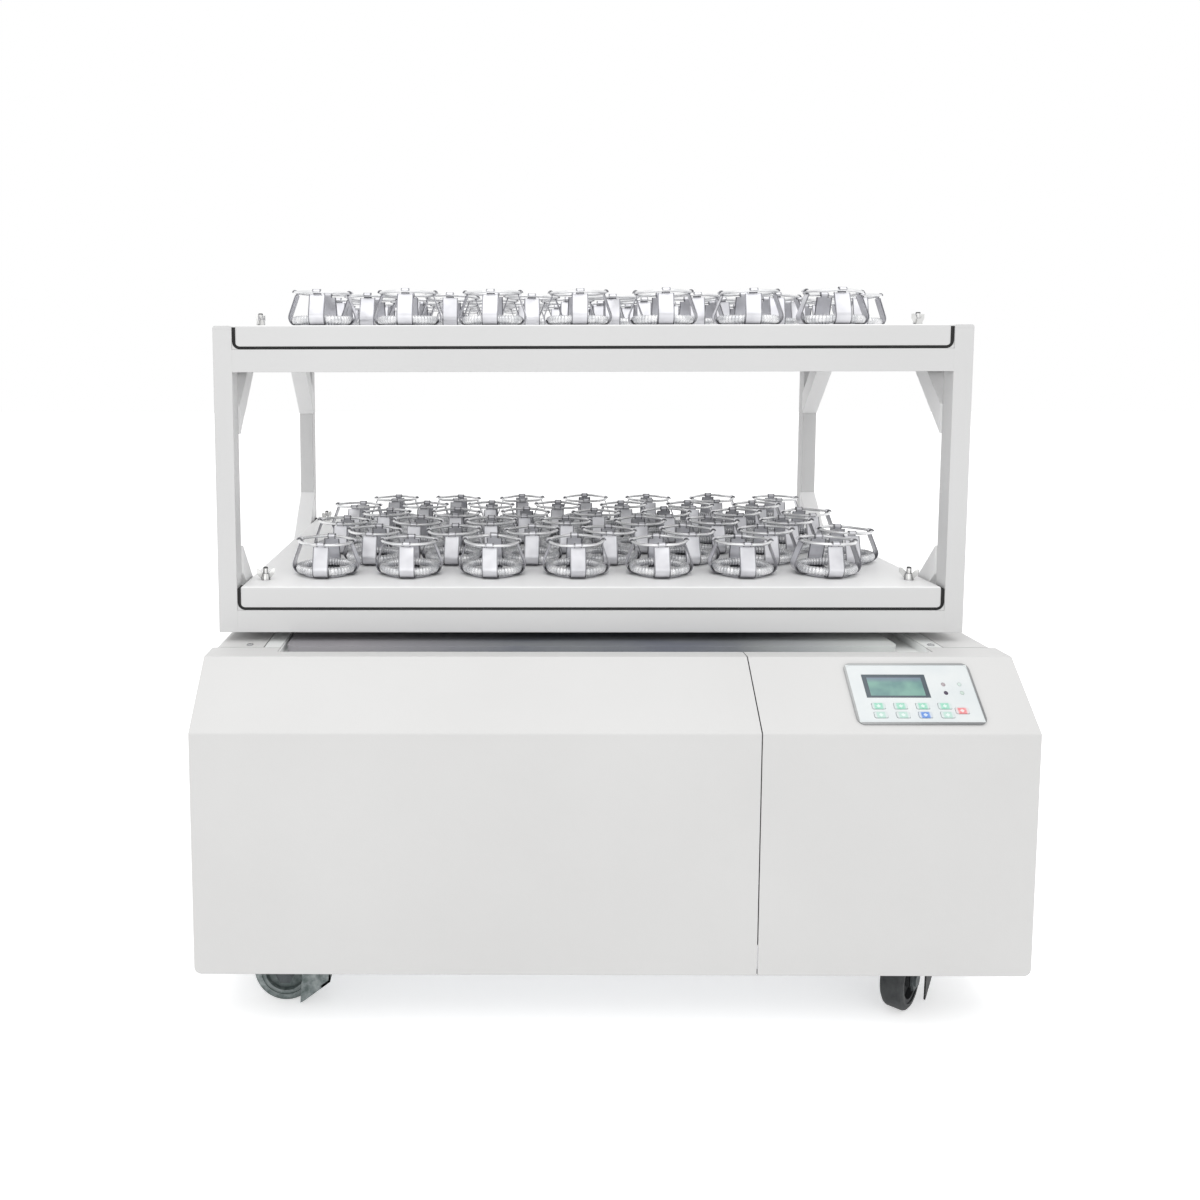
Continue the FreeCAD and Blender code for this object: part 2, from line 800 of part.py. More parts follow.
def buildHousings():
    main = housingOutline("mainBearingOuter", "mainBearingWidth", "mainHousingBore", "mainColumn", "mainFlange",
                          "mainFlangeGauge", "mainHousingHeight")
    node(turned("mainHousing", main, ("0", "driveOffset", "plateTop")), "main_bearing_housing")
    idler = housingOutline("idlerBearingOuter", "idlerBearingWidth", "idlerHousingBore", "idlerColumn",
                           "idlerFlange", "idlerFlangeGauge", "idlerHousingHeight")
    housings = []
    for index, (x, y) in enumerate(idlerPlaces()):
        housings.append(turned("idlerHousing%d" % index, idler, (x, y, "plateTop")))
    node(group("idlerHousings", housings), "idler_housings")


def buildShaftBearings():
    rings = []
    main = ringOutline("mainShaft + runningFit", "mainBearingOuter", "mainBearingWidth")
    idler = ringOutline("idlerShaft + runningFit", "idlerBearingOuter", "idlerBearingWidth")
    for level in ("plateTop", "plateTop + mainHousingHeight - mainBearingWidth"):
        rings.append(turned("shaftBearing%d" % len(rings), main, ("0", "driveOffset", level)))
    for x, y in idlerPlaces():
        for level in ("plateTop", "plateTop + idlerHousingHeight - idlerBearingWidth"):
            rings.append(turned("shaftBearing%d" % len(rings), idler, (x, y, level)))
    node(group("shaftBearings", rings), "shaft_bearings")


def buildMainCrank():
    shaft = [
        ("0", "plateTop + shaftFoot"), ("mainShaft", "plateTop + shaftFoot"), ("mainShaft", "pulleyTop"),
        ("crankDisc", "pulleyTop"), ("crankDisc", "crankTop"), ("0", "crankTop"),
    ]
    body = turned("mainShaftBody", shaft, ("0", "driveOffset", "0"))
    collar = rod("mainCollar", "crankCollar", "hubBase - seatGap - crankTop", ("restX", "driveOffset", "crankTop"))
    pin = rod("mainPin", "crankPin", "pinTop - crankTop", ("restX", "driveOffset", "crankTop"))
    node(fuse("mainCrank", [body, collar, pin]), "main_crankshaft")


def pulleyOutline(bore, radius):
    rim = radius + " + rimHeight"
    return [(bore, "0"), (rim, "0"), (rim, "pulleyRim"), (radius, "pulleyRim"),
            (radius, "pulleyWidth - pulleyRim"), (rim, "pulleyWidth - pulleyRim"), (rim, "pulleyWidth"),
            (bore, "pulleyWidth")]


def buildPulleys():
    main = turned("mainPulleyBody", pulleyOutline("mainShaft", "mainPulley"), ("0", "driveOffset", "pulleyBase"))
    node(main, "main_pulley")
    small = pulleyOutline("0", "motorPulley")
    foot = "plateTop + motorLength + motorNoseLength - motorShaftDepth + shaftFoot"
    wheel = turned("motorPulleyBody", small, ("-motorPlace", "driveOffset", "pulleyBase"))
    shaft = rod("motorShaftBody", "motorShaft", "pulleyBase + seatGap - (%s)" % foot,
                ("-motorPlace", "driveOffset", foot))
    node(fuse("motorPulleyFused", [wheel, shaft]), "motor_pulley")


def buildCounterweight():
    # A half ring on the far side of the crank pin, seated on the pulley.
    ring = turned("weightRing", ringOutline("crankDisc + weightGap", "weightRadius", "weightGauge"),
                  ("0", "driveOffset", "pulleyTop"))
    side = "weightRadius + cutOverrun"
    waste = box("weightWaste", (side, "2 * (%s)" % side, "weightGauge + 2 * cutOverrun"),
                ("-(%s)" % side, "driveOffset - (%s)" % side, "pulleyTop - cutOverrun"))
    node(cut("weight", ring, waste), "counterweight")


def buildIdlerCranks():
    top = "plateTop + idlerHousingHeight"
    disc = top + " + pulleyLift"
    upper = disc + " + idlerDiscGauge"
    outline = [
        ("0", "plateTop + shaftFoot"), ("idlerShaft", "plateTop + shaftFoot"), ("idlerShaft", top + " + seatGap"),
        ("idlerCollar", top + " + seatGap"), ("idlerCollar", disc), ("idlerDisc", disc), ("idlerDisc", upper),
        ("0", upper),
    ]
    for index, (x, y) in enumerate(idlerPlaces()):
        body = turned("idlerBody%d" % index, outline, (x, y, "0"))
        pinX = x + " + restX"
        collar = rod("idlerCollar%d" % index, "idlerCollar", "hubBase - seatGap - (%s)" % upper, (pinX, y, upper))
        pin = rod("idlerPin%d" % index, "idlerShaft", "pinTop - (%s)" % upper, (pinX, y, upper))
        node(fuse("idlerCrank%d" % index, [body, collar, pin]), "idler_crank_%d" % (index + 1))


def buildMotor():
    hole = "motorShaft + runningFit"
    top = "motorLength + motorNoseLength"
    outline = [
        ("0", "0"), ("motorRadius", "0"), ("motorRadius", "motorLength"), ("motorNose", "motorLength"),
        ("motorNose", top), (hole, top), (hole, top + " - motorShaftDepth"), ("0", top + " - motorShaftDepth"),
    ]
    node(turned("motorBody", outline, ("-motorPlace", "driveOffset", "plateTop")), "motor")


def loopWire(nearRadius, farRadius, span):
    # A belt line round two circles: the near one at the origin, the far one at -span on X.
    lean = math.asin((nearRadius - farRadius) / span)
    cosine, sine = math.cos(lean), math.sin(lean)

    def place(centre, radius, across, up):
        return FreeCAD.Vector(centre + radius * across, radius * up, 0)
    nearTop, nearLow = place(0, nearRadius, -sine, cosine), place(0, nearRadius, -sine, -cosine)
    farTop, farLow = place(-span, farRadius, -sine, cosine), place(-span, farRadius, -sine, -cosine)
    edges = [
        Part.Arc(nearLow, place(0, nearRadius, 1, 0), nearTop).toShape(),
        Part.makeLine(nearTop, farTop),
        Part.Arc(farTop, place(-span, farRadius, -1, 0), farLow).toShape(),
        Part.makeLine(farLow, nearLow),
    ]
    return Part.Wire(edges)


def buildBelt():
    near, far = value("mainPulley + beltClearance"), value("motorPulley + beltClearance")
    gauge, span = value("beltGauge"), value("motorPlace")
    loop = Part.Face([loopWire(near + gauge, far + gauge, span), loopWire(near, far, span)])
    loop.validate()
    width = value("pulleyWidth - 2 * pulleyRim - 2 * beltClearance")
    shape = loop.extrude(FreeCAD.Vector(0, 0, width))
    node(solid("belt", shape, "0", "driveOffset", "pulleyBase + pulleyRim + beltClearance"), "drive_belt")


# Electrical pieces

def buildPowerSupply():
    case = box("supplyCase", ("supplyWidth", "supplyDepth", "supplyHeight"),
               ("supplyX - supplyWidth / 2", "supplyY - supplyDepth / 2", "plateTop"))
    bay = box("supplyBay", ("terminalDepth", "supplyDepth + 2 * cutOverrun", "supplyHeight"),
              ("supplyX - supplyWidth / 2 - cutOverrun", "supplyY - supplyDepth / 2 - cutOverrun",
               "plateTop + terminalHeight"))
    node(cut("supply", case, bay), "power_supply")


def buildPowerEntry():
    # Inlet module in the rear panel: socket below, switch above.
    face = "rearPanelFace"
    flange = box("inletPlate", ("inletWidth", "inletFlange", "inletHeight"),
                 ("inletX - inletWidth / 2", face, "inletZ - inletHeight / 2"))
    body = box("inletCase", ("inletBody", "inletDepth", "inletBodyHeight"),
               ("inletX - inletBody / 2", face + " - inletDepth", "inletZ - inletBodyHeight / 2"))
    socket = box("inletSocket", ("socketWidth", "socketDepth + cutOverrun", "socketHeight"),
                 ("inletX - socketWidth / 2", face + " + inletFlange - socketDepth",
                  "inletZ - socketDrop - socketHeight / 2"))
    well = box("rockerWell", ("rockerWidth + 2 * seatGap", "rockerDepth + rockerFloor + cutOverrun",
                              "rockerHeight + 2 * rockerGap"),
               ("inletX - rockerWidth / 2 - seatGap", face + " + inletFlange - rockerDepth - rockerFloor",
                "inletZ + rockerRise - rockerHeight / 2 - rockerGap"))
    module = fuse("inletModule", [flange, body])
    node(cut("powerEntry", module, group("inletHollows", [socket, well])), "power_entry")


def rockerAxis():
    # The switch rocks about a line along X, just inside the flange.
    return "rearPanelFace + inletFlange - rockerDepth / 2", "inletZ + rockerRise"


def buildRocker():
    # A cap with a shallow V, lower half pressed in.
    y, z = rockerAxis()
    half, foot = "rockerHeight / 2", "rockerHeight / 2 * rockerFootShare"
    outline = [
        ("-rockerDepth / 2", "-" + foot), ("rockerDepth / 2 + rockerProud * rockerDipShare", "-" + half),
        ("rockerDepth / 2", "0"), ("rockerDepth / 2 + rockerProud", half), ("-rockerDepth / 2", foot),
    ]
    cap = prism("rockerCap", "YZ", [outline], "rockerWidth", ("inletX - rockerWidth / 2", y, z))
    node(cap, "mains_rocker_switch")


# Control panel, drawn flat and then placed on the slanted face

def keyPlaces():
    # Two rows of four keys, and the stop key at their right end.
    places = []
    for row in range(2):
        for column in range(4):
            places.append(("keyFirstX + %d * keyPitch" % column, "keyFirstY - %d * keyRowPitch" % row))
    places.append(("stopKeyX", "stopKeyY"))
    return places


def lampPlaces():
    return [("lampX + %d * lampPitchX" % column, "lampY - %d * lampPitchY" % row)
            for row in range(2) for column in range(2)]


def buildOverlay():
    outline = rectangle("panelWidth", "panelHeight")
    holes = [rectangle("screenWidth + 2 * drillClearance", "screenHeight + 2 * drillClearance", "screenX", "screenY")]
    keyHoles = [rectangle("keyWidth + 2 * seatGap", "keyHeight + 2 * seatGap", x, y) for x, y in keyPlaces()]
    rounds = [("panelCorner", cornerEdges("XY", outline))]
    for hole in keyHoles:
        rounds.append(("keyCorner", cornerEdges("XY", hole)))
    plate = prism("overlayPlate", "XY", [outline] + holes + keyHoles, "panelGauge", rounds=rounds)
    inner = rectangle("panelWidth - 2 * panelRim", "panelHeight - 2 * panelRim")
    rimRounds = [("panelCorner", cornerEdges("XY", outline)), ("panelCorner - panelRim", cornerEdges("XY", inner))]
    rim = prism("overlayRim", "XY", [outline, inner], "panelRimProud", ("0", "0", "panelGauge"), rimRounds)
    drills = []
    for index, (x, y) in enumerate(lampPlaces()):
        foot = (x, y, "-cutOverrun")
        drills.append(rod("lampDrill%d" % index, "lampRadius + drillClearance", "2 * cutOverrun", foot))
    whole = cut("overlay", fuse("overlayFused", [plate, rim]), group("lampDrills", drills))
    node(panelPlaced(whole), "panel_overlay")


def buildScreen():
    glass = box("screenGlass", ("screenWidth", "screenHeight", "screenDepth + panelGauge"),
                ("screenX - screenWidth / 2", "screenY - screenHeight / 2", "-screenDepth"))
    lip = box("screenLipPlate", ("screenWidth + 2 * screenLip", "screenHeight + 2 * screenLip", "screenDepth / 2"),
              ("screenX - screenWidth / 2 - screenLip", "screenY - screenHeight / 2 - screenLip", "-screenDepth / 2"))
    node(panelPlaced(fuse("screen", [glass, lip])), "lcd_screen")


def buildLamps():
    lamps = []
    for index, (x, y) in enumerate(lampPlaces()):
        outline = [("0", "-lampDepth"), ("lampRadius", "-lampDepth"), ("lampRadius", "panelGauge"),
                   ("lampRadius / 2", "panelGauge + lampProud"), ("0", "panelGauge + lampProud")]
        lens = turned("lamp%d" % index, outline, (x, y, "0"))
        lip = [("0", "-lampDepth"), ("lampRadius + screenLip / 2", "-lampDepth"),
               ("lampRadius + screenLip / 2", "0"), ("0", "0")]
        lamps.append(fuse("lampFused%d" % index, [lens, turned("lampLip%d" % index, lip, (x, y, "0"))]))
    node(panelPlaced(group("lamps", lamps)), "indicator_lights")


def buildKeys():
    names = ["key_%d" % (index + 1) for index in range(8)] + ["key_stop"]
    back = "-seatGap - keyFlangeGauge"
    for name, (x, y) in zip(names, keyPlaces()):
        outline = rectangle("keyWidth", "keyHeight", x, y)
        cap = prism(name + "Cap", "XY", [outline], "seatGap + panelGauge + keyProud", ("0", "0", "-seatGap"),
                    [("keyCorner", cornerEdges("XY", outline))])
        flange = box(name + "Flange", ("keyWidth + 2 * keyFlange", "keyHeight + 2 * keyFlange", "keyFlangeGauge"),
                     (x + " - keyWidth / 2 - keyFlange", y + " - keyHeight / 2 - keyFlange", back))
        stem = rod(name + "Stem", "keyStem", "boardDepth - keyTravel - seatGap - switchSize / 2 + " + back,
                   (x, y, "-boardDepth + keyTravel + seatGap + switchSize / 2"))
        node(panelPlaced(fuse(name + "Fused", [cap, flange, stem])), name)


def buildControlBoard():
    board = box("boardSheet", ("boardWidth", "boardHeight", "boardGauge"),
                ("-boardWidth / 2", "-boardHeight / 2", "-boardDepth - boardGauge"))
    pieces = [board]
    for index, (x, y) in enumerate(keyPlaces()):
        pieces.append(box("keySwitch%d" % index, ("switchSize", "switchSize", "switchSize / 2"),
                          (x + " - switchSize / 2", y + " - switchSize / 2", "-boardDepth")))
    for across in ("-", ""):
        for up in ("-", ""):
            place = (across + "(boardWidth / 2 - standoffMargin)",
                     up + "(boardHeight / 2 - standoffMargin + seatGap)", "-boardDepth")
            pieces.append(rod("standoff%d" % len(pieces), "standoffRadius", "boardDepth - sheetGauge", place))
    node(panelPlaced(group("controlBoard", pieces)), "control_board")


# Platform, rack and trays, drawn about the platform's middle at rest

def buildPlatform():
    outline = rectangle("platformWidth", "platformDepth", "restX", "driveOffset")
    plate = prism("platformPlate", "XY", [outline], "platformGauge", ("0", "0", "platformBase"),
                  [("platformCorner", cornerEdges("XY", outline))])
    drills = []
    reach = "platformGauge + 2 * cutOverrun"
    for index, (x, y) in enumerate(spacerPlaces()):
        drills.append(rod("platformDrill%d" % index, "rackBoltRadius + drillClearance", reach,
                          (x, y, "platformBase - cutOverrun")))
    node(cut("platform", plate, group("platformDrills", drills)), "drive_platform")


def hubOutline(radius, seatRadius, bearing, bore):
    return [(seatRadius, "0"), (radius, "0"), (radius, "hubDrop"), (bore, "hubDrop"), (bore, bearing),
            (seatRadius, bearing)]


def buildHubs():
    pieces = [
        turned("mainHubBody", hubOutline("mainHub", "mainHubSeat", "mainHubBearing", "hubBore"),
               ("restX", "driveOffset", "hubBase")),
        turned("mainHubRing", ringOutline("crankPin + runningFit", "mainHubSeat", "mainHubBearing"),
               ("restX", "driveOffset", "hubBase")),
    ]
    for index, (x, y) in enumerate(idlerPlaces()):
        foot = (x + " + restX", y, "hubBase")
        hub = hubOutline("idlerHub", "idlerBearingOuter", "idlerBearingWidth", "idlerHousingBore")
        ring = ringOutline("idlerShaft + runningFit", "idlerBearingOuter", "idlerBearingWidth")
        pieces += [turned("idlerHubBody%d" % index, hub, foot), turned("idlerHubRing%d" % index, ring, foot)]
    node(group("platformHubs", pieces), "platform_hubs")


def spacerPlaces():
    return [("restX %s crossTubePlace" % side, "driveOffset %s spacerPlace" % end)
            for side in ("-", "+") for end in ("-", "+")]


def buildRackFasteners():
    # Spacers between platform and cross tubes, each on a bolt from below.
    pieces = []
    for index, (x, y) in enumerate(spacerPlaces()):
        bore = "rackBoltRadius + drillClearance"
        spacer = ringOutline(bore, "spacerRadius", "rackBase - platformTop")
        pieces.append(turned("spacer%d" % index, spacer, (x, y, "platformTop")))
        bolt = [("0", "-rackBoltHeadHeight"), ("rackBoltHead", "-rackBoltHeadHeight"), ("rackBoltHead", "0"),
                ("rackBoltRadius", "0"), ("rackBoltRadius", "rackBase - platformBase - seatGap"),
                ("0", "rackBase - platformBase - seatGap")]
        pieces.append(turned("rackBolt%d" % index, bolt, (x, y, "platformBase")))
    node(group("rackFasteners", pieces), "rack_fasteners")


def rackTube(name, size, corner, along):
    return tube(name, size, corner, along, "tubeWall")


def buildRackFrame():
    pieces = []
    left, right = "restX - rackX", "restX + rackX"
    front, back = "rackFront", "rackBack - tubeSize"
    rise = "rackHeight - 2 * capGauge"
    for x in (left, right + " - postWidth"):
        capOutline = [("0", "0"), ("postWidth", "0"), ("postWidth", "capGauge"), ("0", "capGauge")]
        capRounds = [("capRound", cornerEdges("XZ", capOutline, (2, 3)))]
        for y in (front, back):
            post = rackTube("post%d" % len(pieces), ("postWidth", "tubeSize", rise), (x, y, "rackBase + capGauge"), 2)
            foot = box("postFoot%d" % len(pieces), ("postWidth", "tubeSize", "capGauge"), (x, y, "rackBase"))
            cap = prism("postCap%d" % len(pieces), "XZ", [capOutline], "tubeSize",
                        (x, y, "rackBase + rackHeight - capGauge"), capRounds)
            pieces += [post, foot, cap]
    for level in ("rackBase", "upperBeam"):
        for y in (front, back):
            size = ("rackWidth - 2 * postWidth", "tubeSize", "beamHeight")
            pieces.append(rackTube("longBeam%d" % len(pieces), size, (left + " + postWidth", y, level), 0))
        size = ("tubeSize", "rackDepth - 2 * tubeSize", "beamHeight")
        for x in (left, right + " - tubeSize", "restX - crossTubePlace - tubeSize / 2",
                  "restX + crossTubePlace - tubeSize / 2"):
            pieces.append(rackTube("sideBeam%d" % len(pieces), size, (x, front + " + tubeSize", level), 1))
    node(group("rackFrame", pieces), "rack_frame")


def traySeat(level):
    # The top of a tray that stands on the beams of this level.
    return level + " + beamHeight + trayGap + apronHeight"


def trayScrewPlaces():
    return [("restX %s trayScrewPlace" % side, place)
            for side in ("-", "+") for place in ("rackFront + trayScrewSetback", "rackBack - trayScrewSetback")]


def buildBraces():
    pieces = []
    for side in ("restX - rackX", "restX + rackX - tubeSize"):
        for end, start in (("", "rackFront + tubeSize"), ("-", "rackBack - tubeSize")):
            for up, level in (("", "rackBase + beamHeight"), ("-", "upperBeam")):
                legs = [(end + "braceInnerLeg", "0"), (end + "braceOuterLeg", "0"),
                        ("0", up + "braceOuterLeg"), ("0", up + "braceInnerLeg")]
                pieces.append(prism("brace%d" % len(pieces), "YZ", [legs], "tubeSize", (side, start, level)))
    for level in ("rackBase", "upperBeam"):
        top = level + " + beamHeight"
        for across, x in (("", "restX - rackX + tubeSize"), ("-", "restX + rackX - tubeSize")):
            for end, y in (("", "rackFront + tubeSize"), ("-", "rackBack - tubeSize")):
                corner = [("0", "0"), (across + "gussetLeg", "0"), ("0", end + "gussetLeg")]
                pieces.append(prism("gusset%d" % len(pieces), "XY", [corner], "gussetGauge",
                                    (x, y, top + " - gussetGauge")))
        bush = ringOutline("studRadius + drillClearance", "bushRadius", "trayGap + apronHeight - sheetGauge")
        for x, y in trayScrewPlaces():
            pieces.append(turned("bush%d" % len(pieces), bush, (x, y, top)))
    node(group("rackBraces", pieces), "rack_braces")


def clampPlaces():
    # Middle and yaw of each clamp on a tray, relative to the rack's middle and front.
    places = []
    for row in range(clampRows):
        shift = value("rowShift") + (value("clampPitch") / 2 if row % 2 else 0)
        for column in range(clampColumns):
            across = shift + (column - (clampColumns - 1) / 2) * value("clampPitch")
            back = value("firstRow") + row * value("rowPitch")
            yaw = clampYaw + clampYawSpread * math.sin(clampYawStep * len(places))
            places.append((across, back, yaw))
    return places


def onTray(shapes, tall):
    # Copies of the shapes at every clamp place, at a height above the tray's top.
    copies = []
    for across, back, yaw in clampPlaces():
        spin = FreeCAD.Rotation(FreeCAD.Vector(0, 0, 1), yaw)
        place = FreeCAD.Placement(FreeCAD.Vector(across, back, tall), spin)
        for shape in shapes:
            copy = shape.copy()
            copy.Placement = place.multiply(shape.Placement)
            copies.append(copy)
    return copies


def buildTray(name, level):
    top = traySeat(level)
    width, depth = "rackWidth - 2 * postWidth - 2 * trayGap", "rackDepth - 2 * traySetback"
    outline = rectangle(width, depth, "restX", "driveOffset")
    rim = [[(axis, formula), (2, "apronHeight")] for axis, formula in
           ((0, outline[0][0]), (0, outline[1][0]), (1, outline[0][1]), (1, outline[2][1]))]
    outer = prism(name + "Outer", "XY", [outline], "apronHeight", ("0", "0", top + " - apronHeight"),
                  [("trayFold", cornerEdges("XY", outline)), ("trayFold", rim)])
    hollow = box(name + "Hollow", (width + " - 2 * sheetGauge", depth + " - 2 * sheetGauge",
                                   "apronHeight - sheetGauge + cutOverrun"),
                 (outline[0][0] + " + sheetGauge", outline[0][1] + " + sheetGauge",
                  top + " - apronHeight - cutOverrun"))
    drills = []
    for index, (x, y) in enumerate(trayScrewPlaces()):
        drills.append(rod(name + "Drill%d" % index, "studRadius + drillClearance", "2 * cutOverrun",
                          (x, y, top + " - cutOverrun")))
    low = top + " - apronHeight"
    flanges = []
    flangeSize = ("sheetGauge", "(%s) - 2 * trayCorner" % depth, "apronHeight - trayFold")
    for side, edge, start, middle in (
            ("Left", outline[0][0], outline[0][0] + " - cutOverrun", outline[0][0] + " + trayCorner"),
            ("Right", outline[1][0] + " - sheetGauge", outline[1][0] + " - trayCorner",
             outline[1][0] + " - trayCorner")):
        for end, place in (("Front", outline[0][1]), ("Back", outline[2][1] + " - trayCorner")):
            waste = box(name + side + end + "Waste",
                        ("trayCorner + cutOverrun", "trayCorner", "trayCorner + cutOverrun"),
                        (start, place, low + " - cutOverrun"))
            corner = rod(name + side + end + "Corner", "trayCorner", "trayCorner",
                         (middle, place + " + trayCorner", low + " + trayCorner"), (((1, 0, 0), 90),))
            drills.append(cut(name + side + end + "Knife", waste, corner))
        room = box(name + side + "Room", flangeSize, (edge, outline[0][1] + " + trayCorner", low))
        drills.append(room)
        flanges.append(box(name + side + "Flange", flangeSize, (edge, outline[0][1] + " + trayCorner", low)))
    drill = Part.makeCylinder(value("clampScrewRadius + drillClearance"), value("2 * cutOverrun"))
    drilled = Part.Compound(onTray([drill], value("-cutOverrun")))
    holes = solid(name + "ClampHoles", drilled, "restX", "rackFront", top)
    sheet = cut(name + "Sheet", outer, group(name + "Cuts", [hollow, holes] + drills))
    return group(name, [sheet] + flanges)


def strip(path, width):
    # A closed outline of edges in the XZ plane, extruded along Y about the middle.
    face = Part.Face(Part.Wire(path))
    half = FreeCAD.Vector(0, -width / 2, 0)
    face.translate(half)
    return face.extrude(FreeCAD.Vector(0, width, 0))


def arcIn(centre, radius, start, end):
    # An arc in the XZ plane between two angles in degrees from X.
    def spot(angle):
        turn = math.radians(angle)
        return centre + FreeCAD.Vector(radius * math.cos(turn), 0, radius * math.sin(turn))
    return Part.Arc(spot(start), spot((start + end) / 2), spot(end)).toShape(), spot(start), spot(end)


def clampSolids():
    # A round base, and four spring fingers welded to its rim, each with a narrow hook over the wire.
    gauge, width = value("clampGauge"), value("fingerWidth")
    bend, base = value("fingerBend"), value("baseRadius")
    bendCentre = FreeCAD.Vector(base, 0, gauge * 3 / 2 + bend)
    hookCentre = FreeCAD.Vector(value("ringRadius"), 0, value("ringHeight"))
    hook = value("wireRadius + hookClearance + clampGauge / 2")
    span = hookCentre - bendCentre
    lean = math.degrees(math.atan2(span.z, span.x) - math.acos((bend + hook) / span.Length))
    outBend, outFrom, outTo = arcIn(bendCentre, bend + gauge / 2, -90, lean)
    inBend, inFrom, inTo = arcIn(bendCentre, bend - gauge / 2, -90, lean)
    hookEnd = 180 + lean - hookTurn
    outHook, wireFrom, wireTo = arcIn(hookCentre, hook - gauge / 2, 180 + lean, hookEnd)
    inHook, backFrom, backTo = arcIn(hookCentre, hook + gauge / 2, 180 + lean, hookEnd)
    root = FreeCAD.Vector(base - value("fingerFoot"), 0, gauge)
    rootTop = root + FreeCAD.Vector(0, 0, gauge)
    path = [
        Part.makeLine(root, outFrom), outBend, Part.makeLine(outTo, wireFrom), outHook,
        Part.makeLine(wireTo, backTo), inHook, Part.makeLine(backFrom, inTo), inBend,
        Part.makeLine(inFrom, rootTop), Part.makeLine(rootTop, root),
    ]
    finger = strip(Part.sortEdges(path)[0], width)
    shoulder = value("ringHeight") - hook - gauge / 2
    for side in (value("hookWidth / 2"), value("-hookWidth / 2") - width):
        waste = Part.makeBox(base * 2, width, value("ringHeight"), FreeCAD.Vector(0, side, shoulder))
        finger = finger.cut(waste)
    overrun = value("cutOverrun")
    hole = Part.makeCylinder(value("clampScrewRadius + drillClearance"), 2 * overrun, FreeCAD.Vector(0, 0, -overrun))
    pieces = [Part.makeCylinder(base, gauge).cut(hole).Solids[0]]
    for quarter in range(4):
        copy = finger.Solids[0].copy()
        copy.rotate(FreeCAD.Vector(0, 0, 0), FreeCAD.Vector(0, 0, 1), quarter * 90)
        pieces.append(copy)
    return pieces


def clampScrewShape():
    head = Part.makeCylinder(value("clampHeadRadius"), value("clampHeadHeight"))
    head.translate(FreeCAD.Vector(0, 0, value("clampGauge")))
    edges = [edge for edge in head.Edges if edge.BoundBox.ZMin > value("clampGauge + clampHeadHeight / 2")]
    head = head.makeFillet(value("clampHeadHeight * headEdgeShare"), edges)
    reach = value("clampScrewReach")
    shank = Part.makeCylinder(value("clampScrewRadius"), reach + value("clampGauge"), FreeCAD.Vector(0, 0, -reach))
    return head.fuse(shank).removeSplitter().Solids[0]


def wingNut(name, x, y, top, degrees):
    # A wing nut on a stud whose end stands above it.
    outline = [
        ("0", "-studReach"), ("studRadius", "-studReach"), ("studRadius", "0"), ("nutRadius", "0"),
        ("nutWaist", "nutHeight"), ("studRadius", "nutHeight"), ("studRadius", "studTop - studRadius / 2"),
        ("studRadius / 2", "studTop"), ("0", "studTop"),
    ]
    pieces = [turned(name + "Stud", outline)]
    for side in ("-", ""):
        wing = [
            (side + "nutRadius / 2", "nutHeight * wingRootShare"), (side + "nutRadius", "nutHeight * wingRootShare"),
            (side + "wingSpan", "wingTop * wingTipShare"), (side + "wingSpan", "wingTop"),
            (side + "(wingSpan + nutRadius) / 2", "wingTop"), (side + "nutRadius / 2", "nutHeight"),
        ]
        pieces.append(prism(name + "Wing" + ("Left" if side else "Right"), "XZ", [wing], "wingGauge",
                            ("0", "-wingGauge / 2", "0")))
    nut = group(name + "Placed", [fuse(name, pieces)])
    return seat(nut, x, y, top, (((0, 0, 1), degrees),))


def buildTrays():
    levels = (("upper", "upperBeam"), ("lower", "rackBase"))
    screws, rings, thumbs = [], [], []
    clamp, screw = clampSolids(), clampScrewShape()
    ring = Part.makeTorus(value("ringRadius"), value("wireRadius"))
    for name, level in levels:
        top = traySeat(level)
        node(buildTray(name + "Tray", level), name + "_tray")
        clamps = solid(name + "Clamps", Part.Compound(onTray(clamp, 0)), "restX", "rackFront", top)
        node(clamps, name + "_flask_clamps")
        screws.append(solid(name + "ClampScrews", Part.Compound(onTray([screw], 0)), "restX", "rackFront", top))
        ringCopies = Part.Compound(onTray([ring], value("ringHeight")))
        rings.append(solid(name + "Rings", ringCopies, "restX", "rackFront", top))
        for x, y in trayScrewPlaces():
            thumbs.append(wingNut("wingNut%d" % len(thumbs), x, y, top, wingTurns[len(thumbs)]))
    node(group("clampRings", rings), "clamp_rings")
    node(group("clampScrews", screws), "clamp_screws")
    node(group("thumbscrews", thumbs), "tray_thumbscrews")


# Casters, each drawn about its own upright axis, with the wheel trailing to -X

def buildCasterPlates():
    pieces = []
    for side in ("-", ""):
        for end in ("-", ""):
            index = len(pieces)
            x, y = side + "casterX", end + "casterY"
            plate = box("casterPlate%d" % index, ("casterPlateX", "casterPlateY", "casterPlateGauge"),
                        (x + " - casterPlateX / 2", y + " - casterPlateY / 2", "casterTop - casterPlateGauge"))
            race = rod("casterRace%d" % index, "raceRadius", "raceDepth", (x, y, "raceBase"))
            parts = [plate, race]
            if end == "-":
                drop = "2 * seatGap + forkGauge"
                parts.append(rod("kingpin%d" % index, "kingpinRadius", drop, (x, y, "raceBase - (%s)" % drop)))
                parts.append(rod("kingpinHead%d" % index, "kingpinHead", "kingpinHeadGauge",
                                 (x, y, "raceBase - (%s) - kingpinHeadGauge" % drop)))
            pieces.append(fuse("casterPlateFused%d" % index, parts))
    node(group("casterPlates", pieces), "caster_plates")


